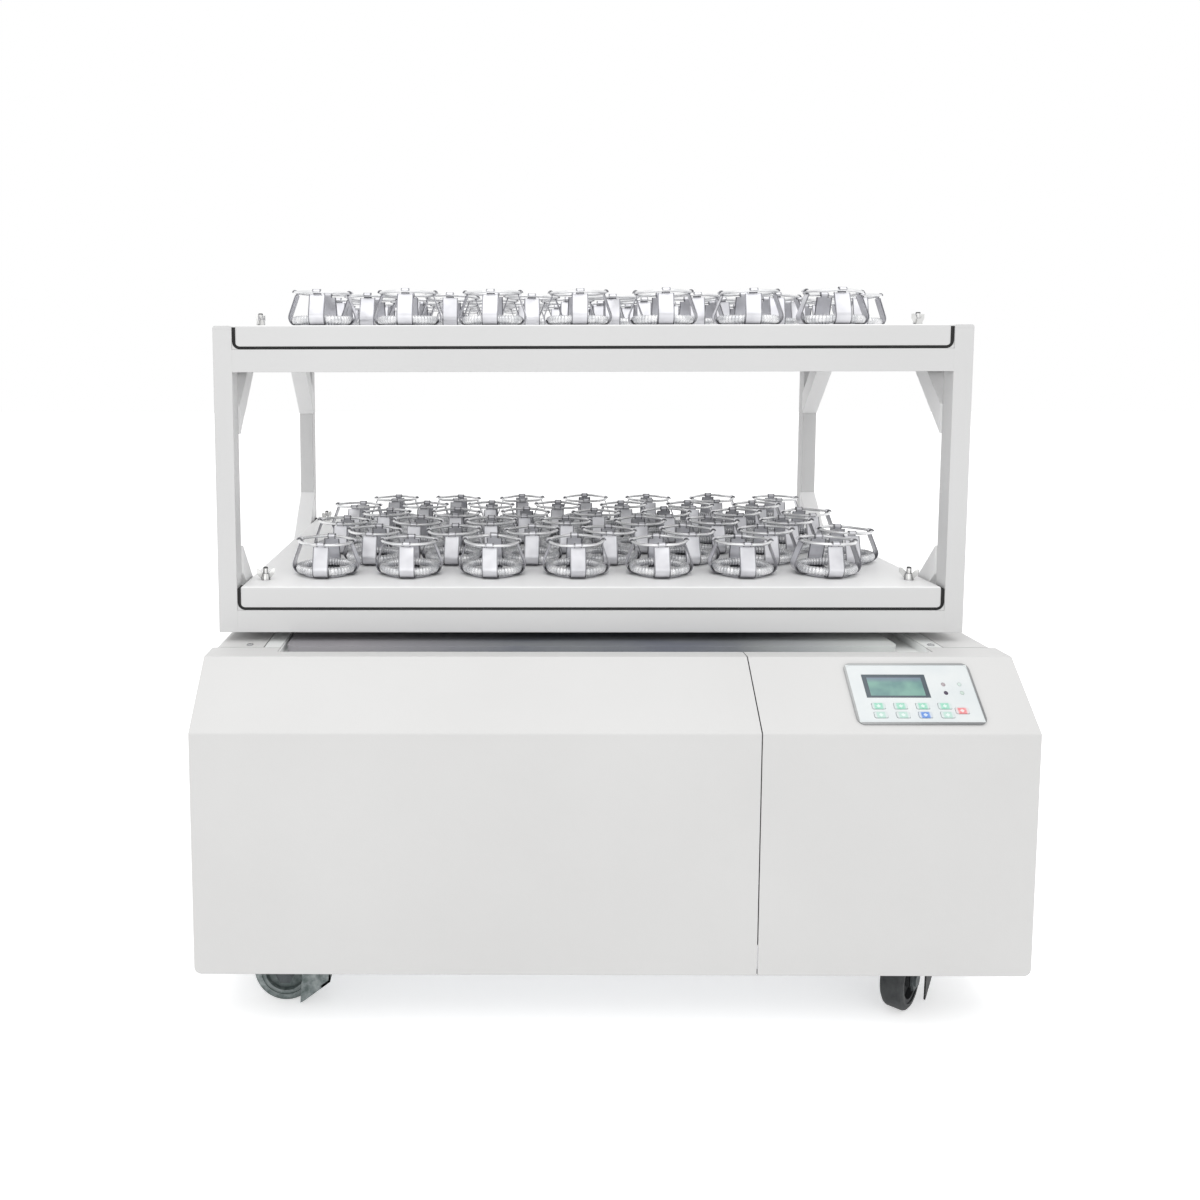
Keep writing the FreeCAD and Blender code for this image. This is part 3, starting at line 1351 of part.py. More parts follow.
def forkPieces(name, trail, top, swivels):
    # Crown, two legs and the axle, in the caster's own frame on the floor.
    crown = rod(name + "Crown", "forkCrown", "forkGauge", ("0", "0", top + " - forkGauge"))
    if swivels:
        hole = rod(name + "Hole", "kingpinRadius + seatGap", "2 * cutOverrun", ("0", "0", top + " - cutOverrun"))
        crown = cut(name + "CrownCut", crown, hole)
    low, foot = "wheelRadius - forkFoot", "forkFoot"
    outline = [
        ("forkCrown * forkLegShare", top + " - forkGauge"), ("-forkCrown * forkLegShare", top + " - forkGauge"),
        ("-(%s) - %s" % (trail, foot), "wheelRadius"), ("-(%s) - %s / 2" % (trail, foot), low),
        ("-(%s) + %s / 2" % (trail, foot), low), ("-(%s) + %s" % (trail, foot), "wheelRadius"),
    ]
    if swivels:
        outline[-1] = ("pedalPivotX + pedalPivotRadius", "pedalPivotZ - 2 * pedalPivotRadius")
        outline.insert(5, ("-(%s) + %s" % (trail, foot), "wheelRadius"))
    inner = "wheelWidth / 2 + forkGap"
    pieces = [crown]
    for index, y in enumerate((inner, "-(%s) - forkGauge" % inner)):
        pieces.append(prism(name + "Leg%d" % index, "XZ", [outline], "forkGauge", ("0", y, "0")))
    outer = inner + " + forkGauge"
    axle = [
        ("0", "-(%s) - axleHeadGauge" % outer), ("axleHead", "-(%s) - axleHeadGauge" % outer),
        ("axleHead", "-(%s)" % outer), ("axleRadius", "-(%s)" % outer), ("axleRadius", outer),
        ("axleHead", outer), ("axleHead", outer + " + axleHeadGauge"), ("0", outer + " + axleHeadGauge"),
    ]
    pieces.append(turned(name + "Axle", axle, ("-(%s)" % trail, "0", "wheelRadius"), (((1, 0, 0), 90),)))
    if swivels:
        reach = outer + " + pedalArmGauge + 2 * seatGap"
        stub = rod(name + "Stub", "pedalPivotRadius", "pedalArmGauge + 2 * seatGap",
                   ("pedalPivotX", "-(%s)" % outer, "pedalPivotZ"), (((1, 0, 0), 90),))
        twin = rod(name + "StubTwin", "pedalPivotRadius", "pedalArmGauge + 2 * seatGap",
                   ("pedalPivotX", reach, "pedalPivotZ"), (((1, 0, 0), 90),))
        pieces += [stub, twin]
    return fuse(name, pieces)


def wheelPieces(name, trail):
    # Tyre and core, each turned about the axle.
    half = "wheelWidth / 2"
    tyre = [
        ("wheelCore", "-" + half), ("wheelRadius - wheelShoulder", "-" + half),
        ("wheelRadius - wheelShoulder * shoulderShare", "-(%s) + wheelShoulder / 2" % half),
        ("wheelRadius", "-(%s) + wheelShoulder" % half), ("wheelRadius", half + " - wheelShoulder"),
        ("wheelRadius - wheelShoulder * shoulderShare", half + " - wheelShoulder / 2"),
        ("wheelRadius - wheelShoulder", half), ("wheelCore", half),
    ]
    bore = "axleRadius + runningFit"
    face, web, lip = "wheelCore * rimShare", "wheelWidth * webShare", "wheelWidth / 2 * coreShare"
    hub = "axleRadius * axleHubShare"
    core = [
        (bore, "-" + half), (hub, "-" + half), (hub, "-" + web), (face, "-" + web), (face, "-" + lip),
        ("wheelCore", "-" + lip), ("wheelCore", lip), (face, lip), (face, web), (hub, web), (hub, half), (bore, half),
    ]
    foot = ("-(%s)" % trail, "0", "wheelRadius")
    turns = (((1, 0, 0), 90),)
    return [turned(name + "Tyre", tyre, foot, turns), turned(name + "Core", core, foot, turns)]


def pedalPieces(name):
    # Two side plates from the pivots of the fork down to the floor, joined by the hood's sloping front.
    inner = "wheelWidth / 2 + forkGap + forkGauge + seatGap"
    half = inner + " + pedalArmGauge"
    outline = [
        ("pedalPivotX - pedalEye", "pedalPivotZ - pedalEye"), ("hoodFootInner", "hoodFootLow"),
        ("hoodFoot", "hoodFootLow"), ("hoodTip", "hoodTipLow"), ("hoodTip", "hoodTipHigh"),
        ("pedalPivotX + pedalEye / 2", "pedalPivotZ + pedalEye"),
        ("pedalPivotX - pedalEye", "pedalPivotZ + pedalEye / 2"),
    ]
    hollow = [
        ("-hoodTip", "0"), ("hoodFoot - hoodGauge", "0"), ("hoodFoot - hoodGauge", "hoodFootLow + hoodGauge / 2"),
        ("hoodTip - 2 * hoodGauge", "hoodTipLow"), ("hoodTip - 2 * hoodGauge", "hoodTipHigh - hoodGauge"),
        ("pedalPivotX + pedalEye", "pedalPivotZ - pedalEye"), ("hoodTip", "pedalPivotZ - pedalEye"),
        ("hoodTip", "pedalPivotZ + 2 * pedalEye"), ("-hoodTip", "pedalPivotZ + 2 * pedalEye"),
    ]
    whole = prism(name + "Hood", "XZ", [outline], "2 * (%s)" % half, ("0", "-(%s)" % half, "0"))
    inside = prism(name + "Inside", "XZ", [hollow], "2 * (%s)" % inner, ("0", "-(%s)" % inner, "0"))
    hole = rod(name + "Hole", "pedalPivotRadius + runningFit", "2 * (%s + cutOverrun)" % half,
               ("pedalPivotX", "%s + cutOverrun" % half, "pedalPivotZ"), (((1, 0, 0), 90),))
    return cut(name, whole, group(name + "Hollows", [inside, hole]))


def casterPlaced(item, x, y, degrees):
    # Turns a caster piece about its own axis and stands it at its place.
    spin = FreeCAD.Rotation(FreeCAD.Vector(0, 0, 1), degrees)
    item.Placement = FreeCAD.Placement(FreeCAD.Vector(value(x), value(y), 0), spin)
    for axis, formula in (("x", x), ("y", y)):
        item.setExpression("Placement.Base." + axis, bound(formula))
    return item


def buildCasters():
    buildCasterPlates()
    rear = []
    for side, x in (("left", "-casterX"), ("right", "casterX")):
        degrees = value("leftSwivel" if side == "left" else "rightSwivel") + 180
        fork = group(side + "ForkPlaced", [forkPieces(side + "Fork", "casterTrail", "crownTop", True)])
        node(casterPlaced(fork, x, "-casterY", degrees), "front_%s_caster_fork" % side)
        wheel = group(side + "WheelPlaced", wheelPieces(side + "Wheel", "casterTrail"))
        node(casterPlaced(wheel, x, "-casterY", degrees), "front_%s_wheel" % side)
        pedal = group(side + "PedalPlaced", [pedalPieces(side + "Pedal")])
        node(casterPlaced(pedal, x, "-casterY", degrees), "front_%s_brake_pedal" % side)
        fixed = group(side + "RearForkPlaced", [forkPieces(side + "RearFork", "0", "raceBase", False)])
        rear.append(casterPlaced(fixed, x, "casterY", 90))
        wheel = group(side + "RearWheelPlaced", wheelPieces(side + "RearWheel", "0"))
        node(casterPlaced(wheel, x, "casterY", 90), "rear_%s_wheel" % side)
    node(group("rearForks", rear), "rear_caster_forks")


for build in (buildFrontCover, buildControlCover, buildSidePanels, buildDeckPlate, buildRearPanel, buildCoverScrews,
              buildBaseFrame, buildBottomPlate, buildMountingPlate, buildHousings, buildShaftBearings, buildMainCrank,
              buildPulleys, buildCounterweight, buildIdlerCranks, buildMotor, buildBelt, buildPowerSupply,
              buildPowerEntry, buildRocker, buildOverlay, buildScreen, buildLamps, buildKeys, buildControlBoard,
              buildPlatform, buildHubs, buildRackFasteners, buildRackFrame, buildBraces, buildTrays, buildCasters):
    build()
doc.recompute()

# Every object has to be sound before anything is written.
for item in doc.Objects:
    if "Invalid" in item.State or "Error" in item.State:
        raise RuntimeError("%s: %s" % (item.Label, item.State))
labels = [item.Label for item in nodes]
if len(set(labels)) != len(labels):
    raise RuntimeError("two sub-parts share a name")
for item in nodes:
    shape = item.Shape
    if shape.isNull() or not shape.isValid() or not shape.Solids:
        raise RuntimeError("%s has no sound solid" % item.Label)
for item in nodes:
    item.Shape.exportStep("parts/%s.step" % item.Label)
print("%d sub-parts, %d solids" % (len(nodes), sum(len(item.Shape.Solids) for item in nodes)))
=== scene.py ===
import math
import random

import bpy
from mathutils import Matrix, Vector


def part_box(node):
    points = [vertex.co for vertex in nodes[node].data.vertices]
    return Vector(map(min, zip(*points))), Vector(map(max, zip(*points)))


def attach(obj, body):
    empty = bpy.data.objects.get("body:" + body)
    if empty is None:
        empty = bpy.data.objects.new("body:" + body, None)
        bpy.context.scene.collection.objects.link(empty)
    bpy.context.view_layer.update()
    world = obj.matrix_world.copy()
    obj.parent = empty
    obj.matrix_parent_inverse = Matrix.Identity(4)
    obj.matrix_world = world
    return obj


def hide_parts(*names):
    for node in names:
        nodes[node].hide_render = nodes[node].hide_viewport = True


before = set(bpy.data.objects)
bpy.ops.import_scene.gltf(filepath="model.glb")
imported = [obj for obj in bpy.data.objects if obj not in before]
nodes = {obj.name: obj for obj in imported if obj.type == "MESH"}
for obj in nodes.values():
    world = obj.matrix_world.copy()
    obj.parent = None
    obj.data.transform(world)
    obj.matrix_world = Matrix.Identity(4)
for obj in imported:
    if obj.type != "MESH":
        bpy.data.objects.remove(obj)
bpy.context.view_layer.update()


class Flow:
    # an output socket of a node tree; Python's operators on it add Math nodes
    def __init__(self, graph, socket):
        self.graph = graph
        self.socket = socket

    def maths(self, operation, *values):
        return self.graph.put("ShaderNodeMath", {"operation": operation}, dict(enumerate(values)))

    def __add__(self, other):
        return self.maths("ADD", self, other)

    def __sub__(self, other):
        return self.maths("SUBTRACT", self, other)

    def __rsub__(self, other):
        return self.maths("SUBTRACT", other, self)

    def __mul__(self, other):
        return self.maths("MULTIPLY", self, other)

    def __lt__(self, other):
        return self.maths("LESS_THAN", self, other)

    def __gt__(self, other):
        return self.maths("GREATER_THAN", self, other)

    def __abs__(self):
        return self.maths("ABSOLUTE", self)

    __radd__ = __add__
    __rmul__ = __mul__

    def within(self, half):
        # 1 where the value is nearer to zero than half
        return abs(self) < half

    def clamped(self):
        return self.graph.put("ShaderNodeClamp", {}, {0: self})


class Graph:
    # a node tree, and the ways to add nodes to it
    def __init__(self, tree):
        self.tree = tree

    def put(self, kind, settings=None, sockets=None, out=0):
        node = self.tree.nodes.new(kind)
        for word, setting in (settings or {}).items():
            setattr(node, word, setting)
        for key, value in (sockets or {}).items():
            self.feed(node.inputs[key], value)
        return Flow(self, node.outputs[out])

    def feed(self, socket, value):
        if isinstance(value, Flow):
            self.tree.links.new(value.socket, socket)
        elif isinstance(value, (tuple, list)) and len(value) == 3 and socket.type == "RGBA":
            socket.default_value = (*value, 1.0)
        else:
            socket.default_value = value

    def place(self, stretch=(1.0, 1.0, 1.0)):
        # the point's own place in the row frame, in metres
        spot = self.put("ShaderNodeTexCoord", out=3)
        if stretch == (1.0, 1.0, 1.0):
            return spot
        return self.put("ShaderNodeVectorMath", {"operation": "MULTIPLY"}, {0: spot, 1: stretch})

    def axes(self, spot):
        return [self.put("ShaderNodeSeparateXYZ", {}, {0: spot}, out) for out in range(3)]

    def noise(self, spot, scale, detail=2.0, rough=0.5):
        return self.put("ShaderNodeTexNoise", {}, {"Vector": spot, "Scale": scale, "Detail": detail,
                                                   "Roughness": rough})

    def span(self, value, low, high, start=0.0, end=1.0):
        return self.put("ShaderNodeMapRange", {}, {0: value, 1: low, 2: high, 3: start, 4: end})

    def blend(self, first, second, factor):
        return self.put("ShaderNodeMix", {"data_type": "RGBA"}, {0: factor, 6: first, 7: second}, 2)

    def hollow(self, reach):
        # 1 in the open, lower in corners and seams
        return self.put("ShaderNodeAmbientOcclusion", {"samples": 8}, {"Distance": reach}, 1)

    def worn(self, radius):
        # a normal that softens the solid's sharp edges
        return self.put("ShaderNodeBevel", {"samples": 4}, {"Radius": radius})

    def bump(self, height, depth, base=None):
        sockets = {"Height": height, "Distance": depth, "Strength": 1.0}
        if base is not None:
            sockets["Normal"] = base
        return self.put("ShaderNodeBump", {}, sockets)


class Shader(Graph):
    # a material of one Principled surface
    socketNames = {"colour": "Base Color", "coat": "Coat Weight", "coatRoughness": "Coat Roughness",
                   "specular": "Specular IOR Level", "glow": "Emission Color",
                   "glowStrength": "Emission Strength"}

    def __init__(self, name):
        self.material = bpy.data.materials.new(name)
        self.material.use_nodes = True
        super().__init__(self.material.node_tree)

    def finish(self, **values):
        surface = self.tree.nodes["Principled BSDF"]
        for word, value in values.items():
            self.feed(surface.inputs[self.socketNames.get(word, word.capitalize())], value)
        return self.material


def powderCoat(name, recipe):
    # baked powder paint: faint clouding, orange peel, and painted shade that darkens its corners
    shader = Shader(name)
    place = shader.place()
    cloud = shader.span(shader.noise(place, recipe["cloudScale"], 3.0), 0.3, 0.7)
    peel = shader.noise(place, recipe["peelScale"], 2.0)
    # ambient occlusion darkens the corners towards a grey: painted shade
    corner = shader.hollow(recipe["dustReach"])
    dust = ((1.0 - corner) * recipe["dust"]).clamped()
    colour = shader.blend(recipe["colour"], recipe["clouded"], cloud)
    # upward faces painted lighter than the sides: painted light from above
    if recipe["top"]:
        facing = shader.put("ShaderNodeNewGeometry", out=1)
        colour = shader.blend(colour, recipe["top"], shader.span(shader.axes(facing)[2], 0.5, 0.8))
    colour = shader.blend(colour, recipe["dustColour"], dust)
    rough = recipe["roughness"] + (peel - 0.5) * recipe["roughnessSwing"]
    normal = shader.bump(peel, recipe["peelDepth"], shader.worn(recipe["edge"]))
    return shader.finish(colour=colour, roughness=rough, normal=normal, specular=recipe["specular"])


def paint(colour, clouded, **changes):
    # the reach, amount and grey of the painted corner shade are set beside the clouding
    recipe = {"colour": colour, "clouded": clouded, "cloudScale": 5.0, "peelScale": 900.0, "peelDepth": 0.00006,
              "dustReach": 0.006, "dust": 0.55, "dustColour": (0.30, 0.30, 0.30), "roughness": 0.42,
              "roughnessSwing": 0.16, "edge": 0.0009, "specular": 0.45, "top": None}
    recipe.update(changes)
    return recipe


def rolledSteel(name, recipe):
    # bare metal with rolling or brushing marks, painted darker in its corners as shade
    shader = Shader(name)
    place = shader.place(recipe["grain"])
    marks = shader.noise(place, recipe["markScale"], 4.0, 0.65)
    smudge = shader.noise(shader.place(), recipe["smudgeScale"], 2.0)
    # the shade colour fills the corners by ambient occlusion: painted shade
    corner = shader.span(shader.hollow(recipe["reach"]), 0.25, 0.95)
    light = shader.blend(recipe["colour"], recipe["bright"], shader.span(smudge, 0.35, 0.65))
    colour = shader.blend(recipe["shade"], light, corner)
    rough = recipe["roughness"] + (marks - 0.5) * recipe["roughnessSwing"]
    normal = shader.bump(marks, recipe["markDepth"], shader.worn(recipe["edge"]))
    return shader.finish(colour=colour, roughness=rough, normal=normal, metallic=recipe["metal"])


def metal(colour, bright, **changes):
    recipe = {"colour": colour, "bright": bright, "shade": (0.12, 0.12, 0.13), "grain": (1.0, 1.0, 0.08),
              "markScale": 1500.0, "markDepth": 0.00002, "smudgeScale": 40.0, "reach": 0.008, "roughness": 0.28,
              "roughnessSwing": 0.2, "edge": 0.0003, "metal": 1.0}
    recipe.update(changes)
    return recipe


def castSkin(name, recipe):
    # painted casting: coarse pebbled skin
    shader = Shader(name)
    place = shader.place()
    pebble = shader.noise(place, recipe["pebbleScale"], 4.0, 0.6)
    colour = shader.blend(recipe["colour"], recipe["light"], shader.span(pebble, 0.35, 0.7))
    normal = shader.bump(pebble, recipe["depth"], shader.worn(recipe["edge"]))
    return shader.finish(colour=colour, roughness=recipe["roughness"] + (pebble - 0.5) * 0.3, normal=normal)


# the moving plate's dark middle and pale ends: painted shadow under the rack, painted light beside it
plate = {"dark": (0.17, 0.18, 0.215), "cloud": (0.23, 0.24, 0.25), "left": (0.34, 0.33, 0.35),
         "right": (0.62, 0.64, 0.63), "ends": (-0.30, -0.10, 0.16, 0.33)}


def movingPlate(name):
    # plate painted dark in its middle, where the rack's shadow falls, and paler towards both ends: painted
    # shadow and light
    shader = Shader(name)
    x = shader.axes(shader.place())[0]
    cloud = shader.span(shader.noise(shader.place((0.3, 1.0, 1.0)), 22.0, 3.0), 0.35, 0.65)
    colour = shader.blend(plate["dark"], plate["cloud"], cloud)
    start, leftEnd, rightStart, end = plate["ends"]
    colour = shader.blend(plate["left"], colour, shader.span(x, start, leftEnd))
    colour = shader.blend(colour, plate["right"], shader.span(x, rightStart, end))
    grain = shader.noise(shader.place((0.05, 1.0, 1.0)), 900.0, 3.0)
    return shader.finish(colour=colour, roughness=0.42 + (grain - 0.5) * 0.15,
                         normal=shader.bump(grain, 0.00003, shader.worn(0.0006)))


def mouldedSkin(name, recipe):
    # plastic or rubber: fine texture, dust mottling on its open faces, kept out of the corners so they stay
    # dark as painted shade
    shader = Shader(name)
    place = shader.place()
    skin = shader.noise(place, recipe["skinScale"], 3.0)
    dusting = shader.span(shader.noise(place, recipe["dustScale"], 4.0, 0.6), 0.35, 0.75) * recipe["dust"]
    # ambient occlusion keeps the dust off the corners: painted shade
    corner = shader.span(shader.hollow(recipe["reach"]), 0.2, 1.0)
    colour = shader.blend(recipe["colour"], recipe["dustColour"], dusting * corner)
    normal = shader.bump(skin, recipe["skinDepth"], shader.worn(recipe["edge"]))
    return shader.finish(colour=colour, roughness=recipe["roughness"] + (skin - 0.5) * 0.12, normal=normal,
                         specular=recipe["specular"])


def moulding(colour, dustColour, **changes):
    recipe = {"colour": colour, "dustColour": dustColour, "skinScale": 1400.0, "skinDepth": 0.00005,
              "dustScale": 60.0, "dust": 0.5, "reach": 0.01, "roughness": 0.5, "edge": 0.0004, "specular": 0.4}
    recipe.update(changes)
    return recipe


# the control panel is painted by place on its slanted plane
panel = {"centre": (0.3395, -0.34996, 0.37951), "slope": math.atan2(66.0, 69.0),
         "size": (0.142, 0.075), "rim": 0.0024, "face": (0.71, 0.75, 0.76), "glow": (0.76, 0.79, 0.79),
         "rimLight": (0.42, 0.43, 0.43), "rimDark": (0.20, 0.205, 0.21),
         "screen": (-0.0178, 0.009), "screenHalf": (0.0355, 0.0142), "bezel": (0.0050, 0.0030)}


def panelPlace(shader):
    # across and up the panel, from its middle
    x, y, z = shader.axes(shader.place())
    across = x - panel["centre"][0]
    up = ((y - panel["centre"][1]) * math.cos(panel["slope"])
          + (z - panel["centre"][2]) * math.sin(panel["slope"]))
    return across, up


def printedFilm(name):
    shader = Shader(name)
    across, up = panelPlace(shader)
    halfX, halfY = panel["size"][0] / 2, panel["size"][1] / 2
    rimX = abs(across) > halfX - panel["rim"]
    rimY = abs(up) > halfY - panel["rim"]
    rim = (rimX + rimY).clamped()
    lower = shader.span(across - up * 1.2, -0.07, 0.09)
    cloud = shader.span(shader.noise(shader.place(), 30.0, 2.0), 0.35, 0.65)
    face = shader.blend(panel["face"], panel["glow"], cloud)
    edge = shader.blend(panel["rimLight"], panel["rimDark"], lower)
    fine = shader.noise(shader.place(), 2500.0, 1.0)
    return shader.finish(colour=shader.blend(face, edge, rim), roughness=0.34, coat=0.25,
                         normal=shader.bump(fine, 0.00001, shader.worn(0.0003)))


# display: segments' green, the room's reflection above it, and the dark frame
screen = {"dim": (0.12, 0.26, 0.25), "lit": (0.19, 0.38, 0.32), "sky": (0.16, 0.20, 0.28),
          "skyline": (0.004, 0.011), "frame": (0.035, 0.055, 0.075), "frameLight": (0.06, 0.09, 0.11),
          "drop": 0.0006}


def displayGlass(name):
    shader = Shader(name)
    across, up = panelPlace(shader)
    sideways = across - panel["screen"][0]
    upright = up - panel["screen"][1]
    inX = sideways.within(panel["screenHalf"][0] - panel["bezel"][0])
    inY = (upright + screen["drop"]).within(panel["screenHalf"][1] - panel["bezel"][1])
    cloud = shader.noise(shader.place((1.0, 1.4, 1.0)), 42.0, 2.0)
    lit = shader.blend(screen["dim"], screen["lit"], shader.span(cloud, 0.38, 0.62))
    lit = shader.blend(lit, screen["sky"], shader.span(upright, *screen["skyline"]))
    bezel = shader.blend(screen["frame"], screen["frameLight"], shader.noise(shader.place(), 90.0))
    colour = shader.blend(bezel, lit, inX * inY)
    return shader.finish(colour=colour, roughness=0.22, coat=0.5, coatRoughness=0.08)


# four lamps in two columns, each column with its lower and upper colour
lampPrints = {"between": (0.045, 0.0057), "left": ((0.05, 0.03, 0.07), (0.42, 0.36, 0.38)),
              "right": ((0.55, 0.66, 0.60), (0.62, 0.72, 0.68))}


def lampLens(name):
    shader = Shader(name)
    across, up = panelPlace(shader)
    right, high = across > lampPrints["between"][0], up > lampPrints["between"][1]
    left = shader.blend(*lampPrints["left"], high)
    other = shader.blend(*lampPrints["right"], high)
    return shader.finish(colour=shader.blend(left, other, right), roughness=0.25, coat=0.4)


keyPrints = {"pitch": 0.0244, "firstX": -0.0435, "rowY": (-0.0157, -0.0264), "stop": (0.0472, -0.0214),
             "stopEdge": 0.040, "half": 0.0048, "mark": 0.0026, "markSlant": 1.3,
             "markColour": (0.86, 0.92, 0.90)}


def keyCap(name, colour, dark, fade):
    # a soft key under its own print: stronger colour to one side, a pale mark in the middle
    shader = Shader(name)
    across, up = panelPlace(shader)
    column = shader.put("ShaderNodeMath", {"operation": "PINGPONG"},
                        {0: across - keyPrints["firstX"], 1: keyPrints["pitch"] / 2})
    first = up > (keyPrints["rowY"][0] + keyPrints["rowY"][1]) / 2
    middle = keyPrints["rowY"][1] + (keyPrints["rowY"][0] - keyPrints["rowY"][1]) * first
    height = up - middle
    stop = across > keyPrints["stopEdge"]
    height = height * (1.0 - stop) + (up - keyPrints["stop"][1]) * stop
    column = column * (1.0 - stop) + abs(across - keyPrints["stop"][0]) * stop
    mark = (column + abs(height) * keyPrints["markSlant"]) < keyPrints["mark"]
    cloud = shader.span(shader.noise(shader.place(), 420.0, 2.0), 0.35, 0.7)
    shade = shader.blend(colour, dark, cloud)
    side = shader.span(column, keyPrints["half"] - 0.0008, keyPrints["half"] + 0.0006)
    shade = shader.blend(shade, panel["face"], side * 0.85)
    shade = shader.blend(shader.blend(shade, panel["face"], fade), shade, first)
    printed = shader.blend(shade, keyPrints["markColour"], mark * 0.75)
    return shader.finish(colour=printed, roughness=0.4, normal=shader.worn(0.0004))


finishes = {
    "cabinet": powderCoat("cabinetPaint", paint((0.685, 0.682, 0.676), (0.71, 0.708, 0.702))),
    "deck": powderCoat("deckPaint", paint((0.82, 0.84, 0.83), (0.86, 0.87, 0.86))),
    "rack": powderCoat("rackPaint", paint((0.67, 0.67, 0.67), (0.69, 0.69, 0.69))),
    # the braces painted paler than the rack frame: painted light
    "brace": powderCoat("bracePaintLit", paint((0.90, 0.90, 0.90), (0.93, 0.93, 0.93), dust=0.2)),
    # the tray's upward faces are painted near white: painted light
    "tray": powderCoat("trayPaint", paint((0.68, 0.68, 0.68), (0.70, 0.70, 0.70), top=(0.98, 0.98, 0.98))),
    "primer": powderCoat("primerPaint", paint((0.08, 0.085, 0.09), (0.10, 0.10, 0.11), roughness=0.6)),
    "zinc": rolledSteel("zincPlate", metal((0.42, 0.44, 0.46), (0.55, 0.56, 0.58), grain=(1, 1, 1),
                                           markScale=260.0, roughness=0.38)),
    "casterSteel": mouldedSkin("casterSteel", moulding((0.06, 0.07, 0.075), (0.13, 0.15, 0.155), dust=0.9,
                                                       skinScale=500.0, dustScale=160.0)),
    "clampSteel": rolledSteel("clampSteel", metal((0.62, 0.62, 0.65), (0.76, 0.76, 0.79), roughness=0.33,
                                                  metal=0.7, shade=(0.26, 0.26, 0.29), reach=0.004)),
    # dark bands along the clamp fingers' edges: painted dark reflection
    "clampEdgeShade": rolledSteel("clampEdgeShade", metal((0.20, 0.20, 0.22), (0.32, 0.32, 0.34), roughness=0.4)),
    # a dark shade colour in the rib valleys: painted shade
    "coilSteel": rolledSteel("coilSteel", metal((0.62, 0.63, 0.65), (0.92, 0.92, 0.93), roughness=0.28,
                                                metal=0.6, shade=(0.10, 0.10, 0.11), reach=0.0022,
                                                smudgeScale=90.0, grain=(1, 1, 1))),
    "studSteel": rolledSteel("studSteel", metal((0.10, 0.10, 0.10), (0.18, 0.18, 0.18), roughness=0.5,
                                                grain=(1, 1, 1))),
    "liner": powderCoat("linerPaint", paint((0.90, 0.92, 0.91), (0.94, 0.95, 0.94), dust=0.1)),
    "wireSteel": rolledSteel("wireSteel", metal((0.78, 0.79, 0.80), (0.90, 0.90, 0.91), roughness=0.24,
                                                roughnessSwing=0.1, reach=0.002, metal=0.6)),
    "screwSteel": rolledSteel("screwSteel", metal((0.55, 0.56, 0.57), (0.70, 0.71, 0.72), roughness=0.24,
                                                  reach=0.003)),
    "chromed": rolledSteel("chromedBrass", metal((0.66, 0.66, 0.65), (0.80, 0.80, 0.79), roughness=0.12,
                                                 roughnessSwing=0.08, reach=0.004)),
    "bearing": rolledSteel("groundSteel", metal((0.50, 0.51, 0.53), (0.62, 0.63, 0.65), roughness=0.2)),
    "aluminium": movingPlate("shadedPlatePaint"),
    "pulley": rolledSteel("turnedAluminium", metal((0.60, 0.61, 0.62), (0.70, 0.71, 0.72), roughness=0.3)),
    "casting": castSkin("castPaint", {"colour": (0.03, 0.035, 0.04), "light": (0.06, 0.065, 0.07),
                                      "pebbleScale": 420.0, "depth": 0.0002, "edge": 0.0008,
                                      "roughness": 0.55}),
    "enamel": castSkin("motorEnamel", {"colour": (0.012, 0.013, 0.015), "light": (0.02, 0.021, 0.024),
                                       "pebbleScale": 700.0, "depth": 0.00008, "edge": 0.0006,
                                       "roughness": 0.35}),
    "belt": mouldedSkin("beltRubber", moulding((0.01, 0.01, 0.01), (0.05, 0.05, 0.05), roughness=0.75)),
    "tyre": mouldedSkin("tyreRubber", moulding((0.022, 0.024, 0.026), (0.07, 0.075, 0.075), dust=0.8,
                                               skinScale=700.0, skinDepth=0.00012, roughness=0.62)),
    # the front left caster's wheel, pedal and hood, paler and greener than the other casters
    "paleCasterSkin": mouldedSkin("paleCasterSkin", moulding((0.11, 0.14, 0.137), (0.42, 0.46, 0.46), dust=1.0,
                                                 dustScale=110.0, skinScale=500.0, skinDepth=0.00016,
                                                 roughness=0.6)),
    "dark": mouldedSkin("darkPlastic", moulding((0.015, 0.016, 0.017), (0.08, 0.08, 0.08))),
    "laminate": mouldedSkin("boardLaminate", moulding((0.01, 0.06, 0.025), (0.02, 0.12, 0.05),
                                                      dustScale=300.0)),
    "film": printedFilm("printedFilm"),
    "display": displayGlass("displayGlass"),
    "lamp": lampLens("lampLens"),
    "keyGreen": keyCap("keyGreen", (0.30, 0.66, 0.50), (0.44, 0.74, 0.62), 0.45),
    "keyBlue": keyCap("keyBlue", (0.12, 0.26, 0.66), (0.22, 0.38, 0.78), 0.0),
    "keyRed": keyCap("keyRed", (0.80, 0.24, 0.26), (0.86, 0.40, 0.40), 0.0),
}

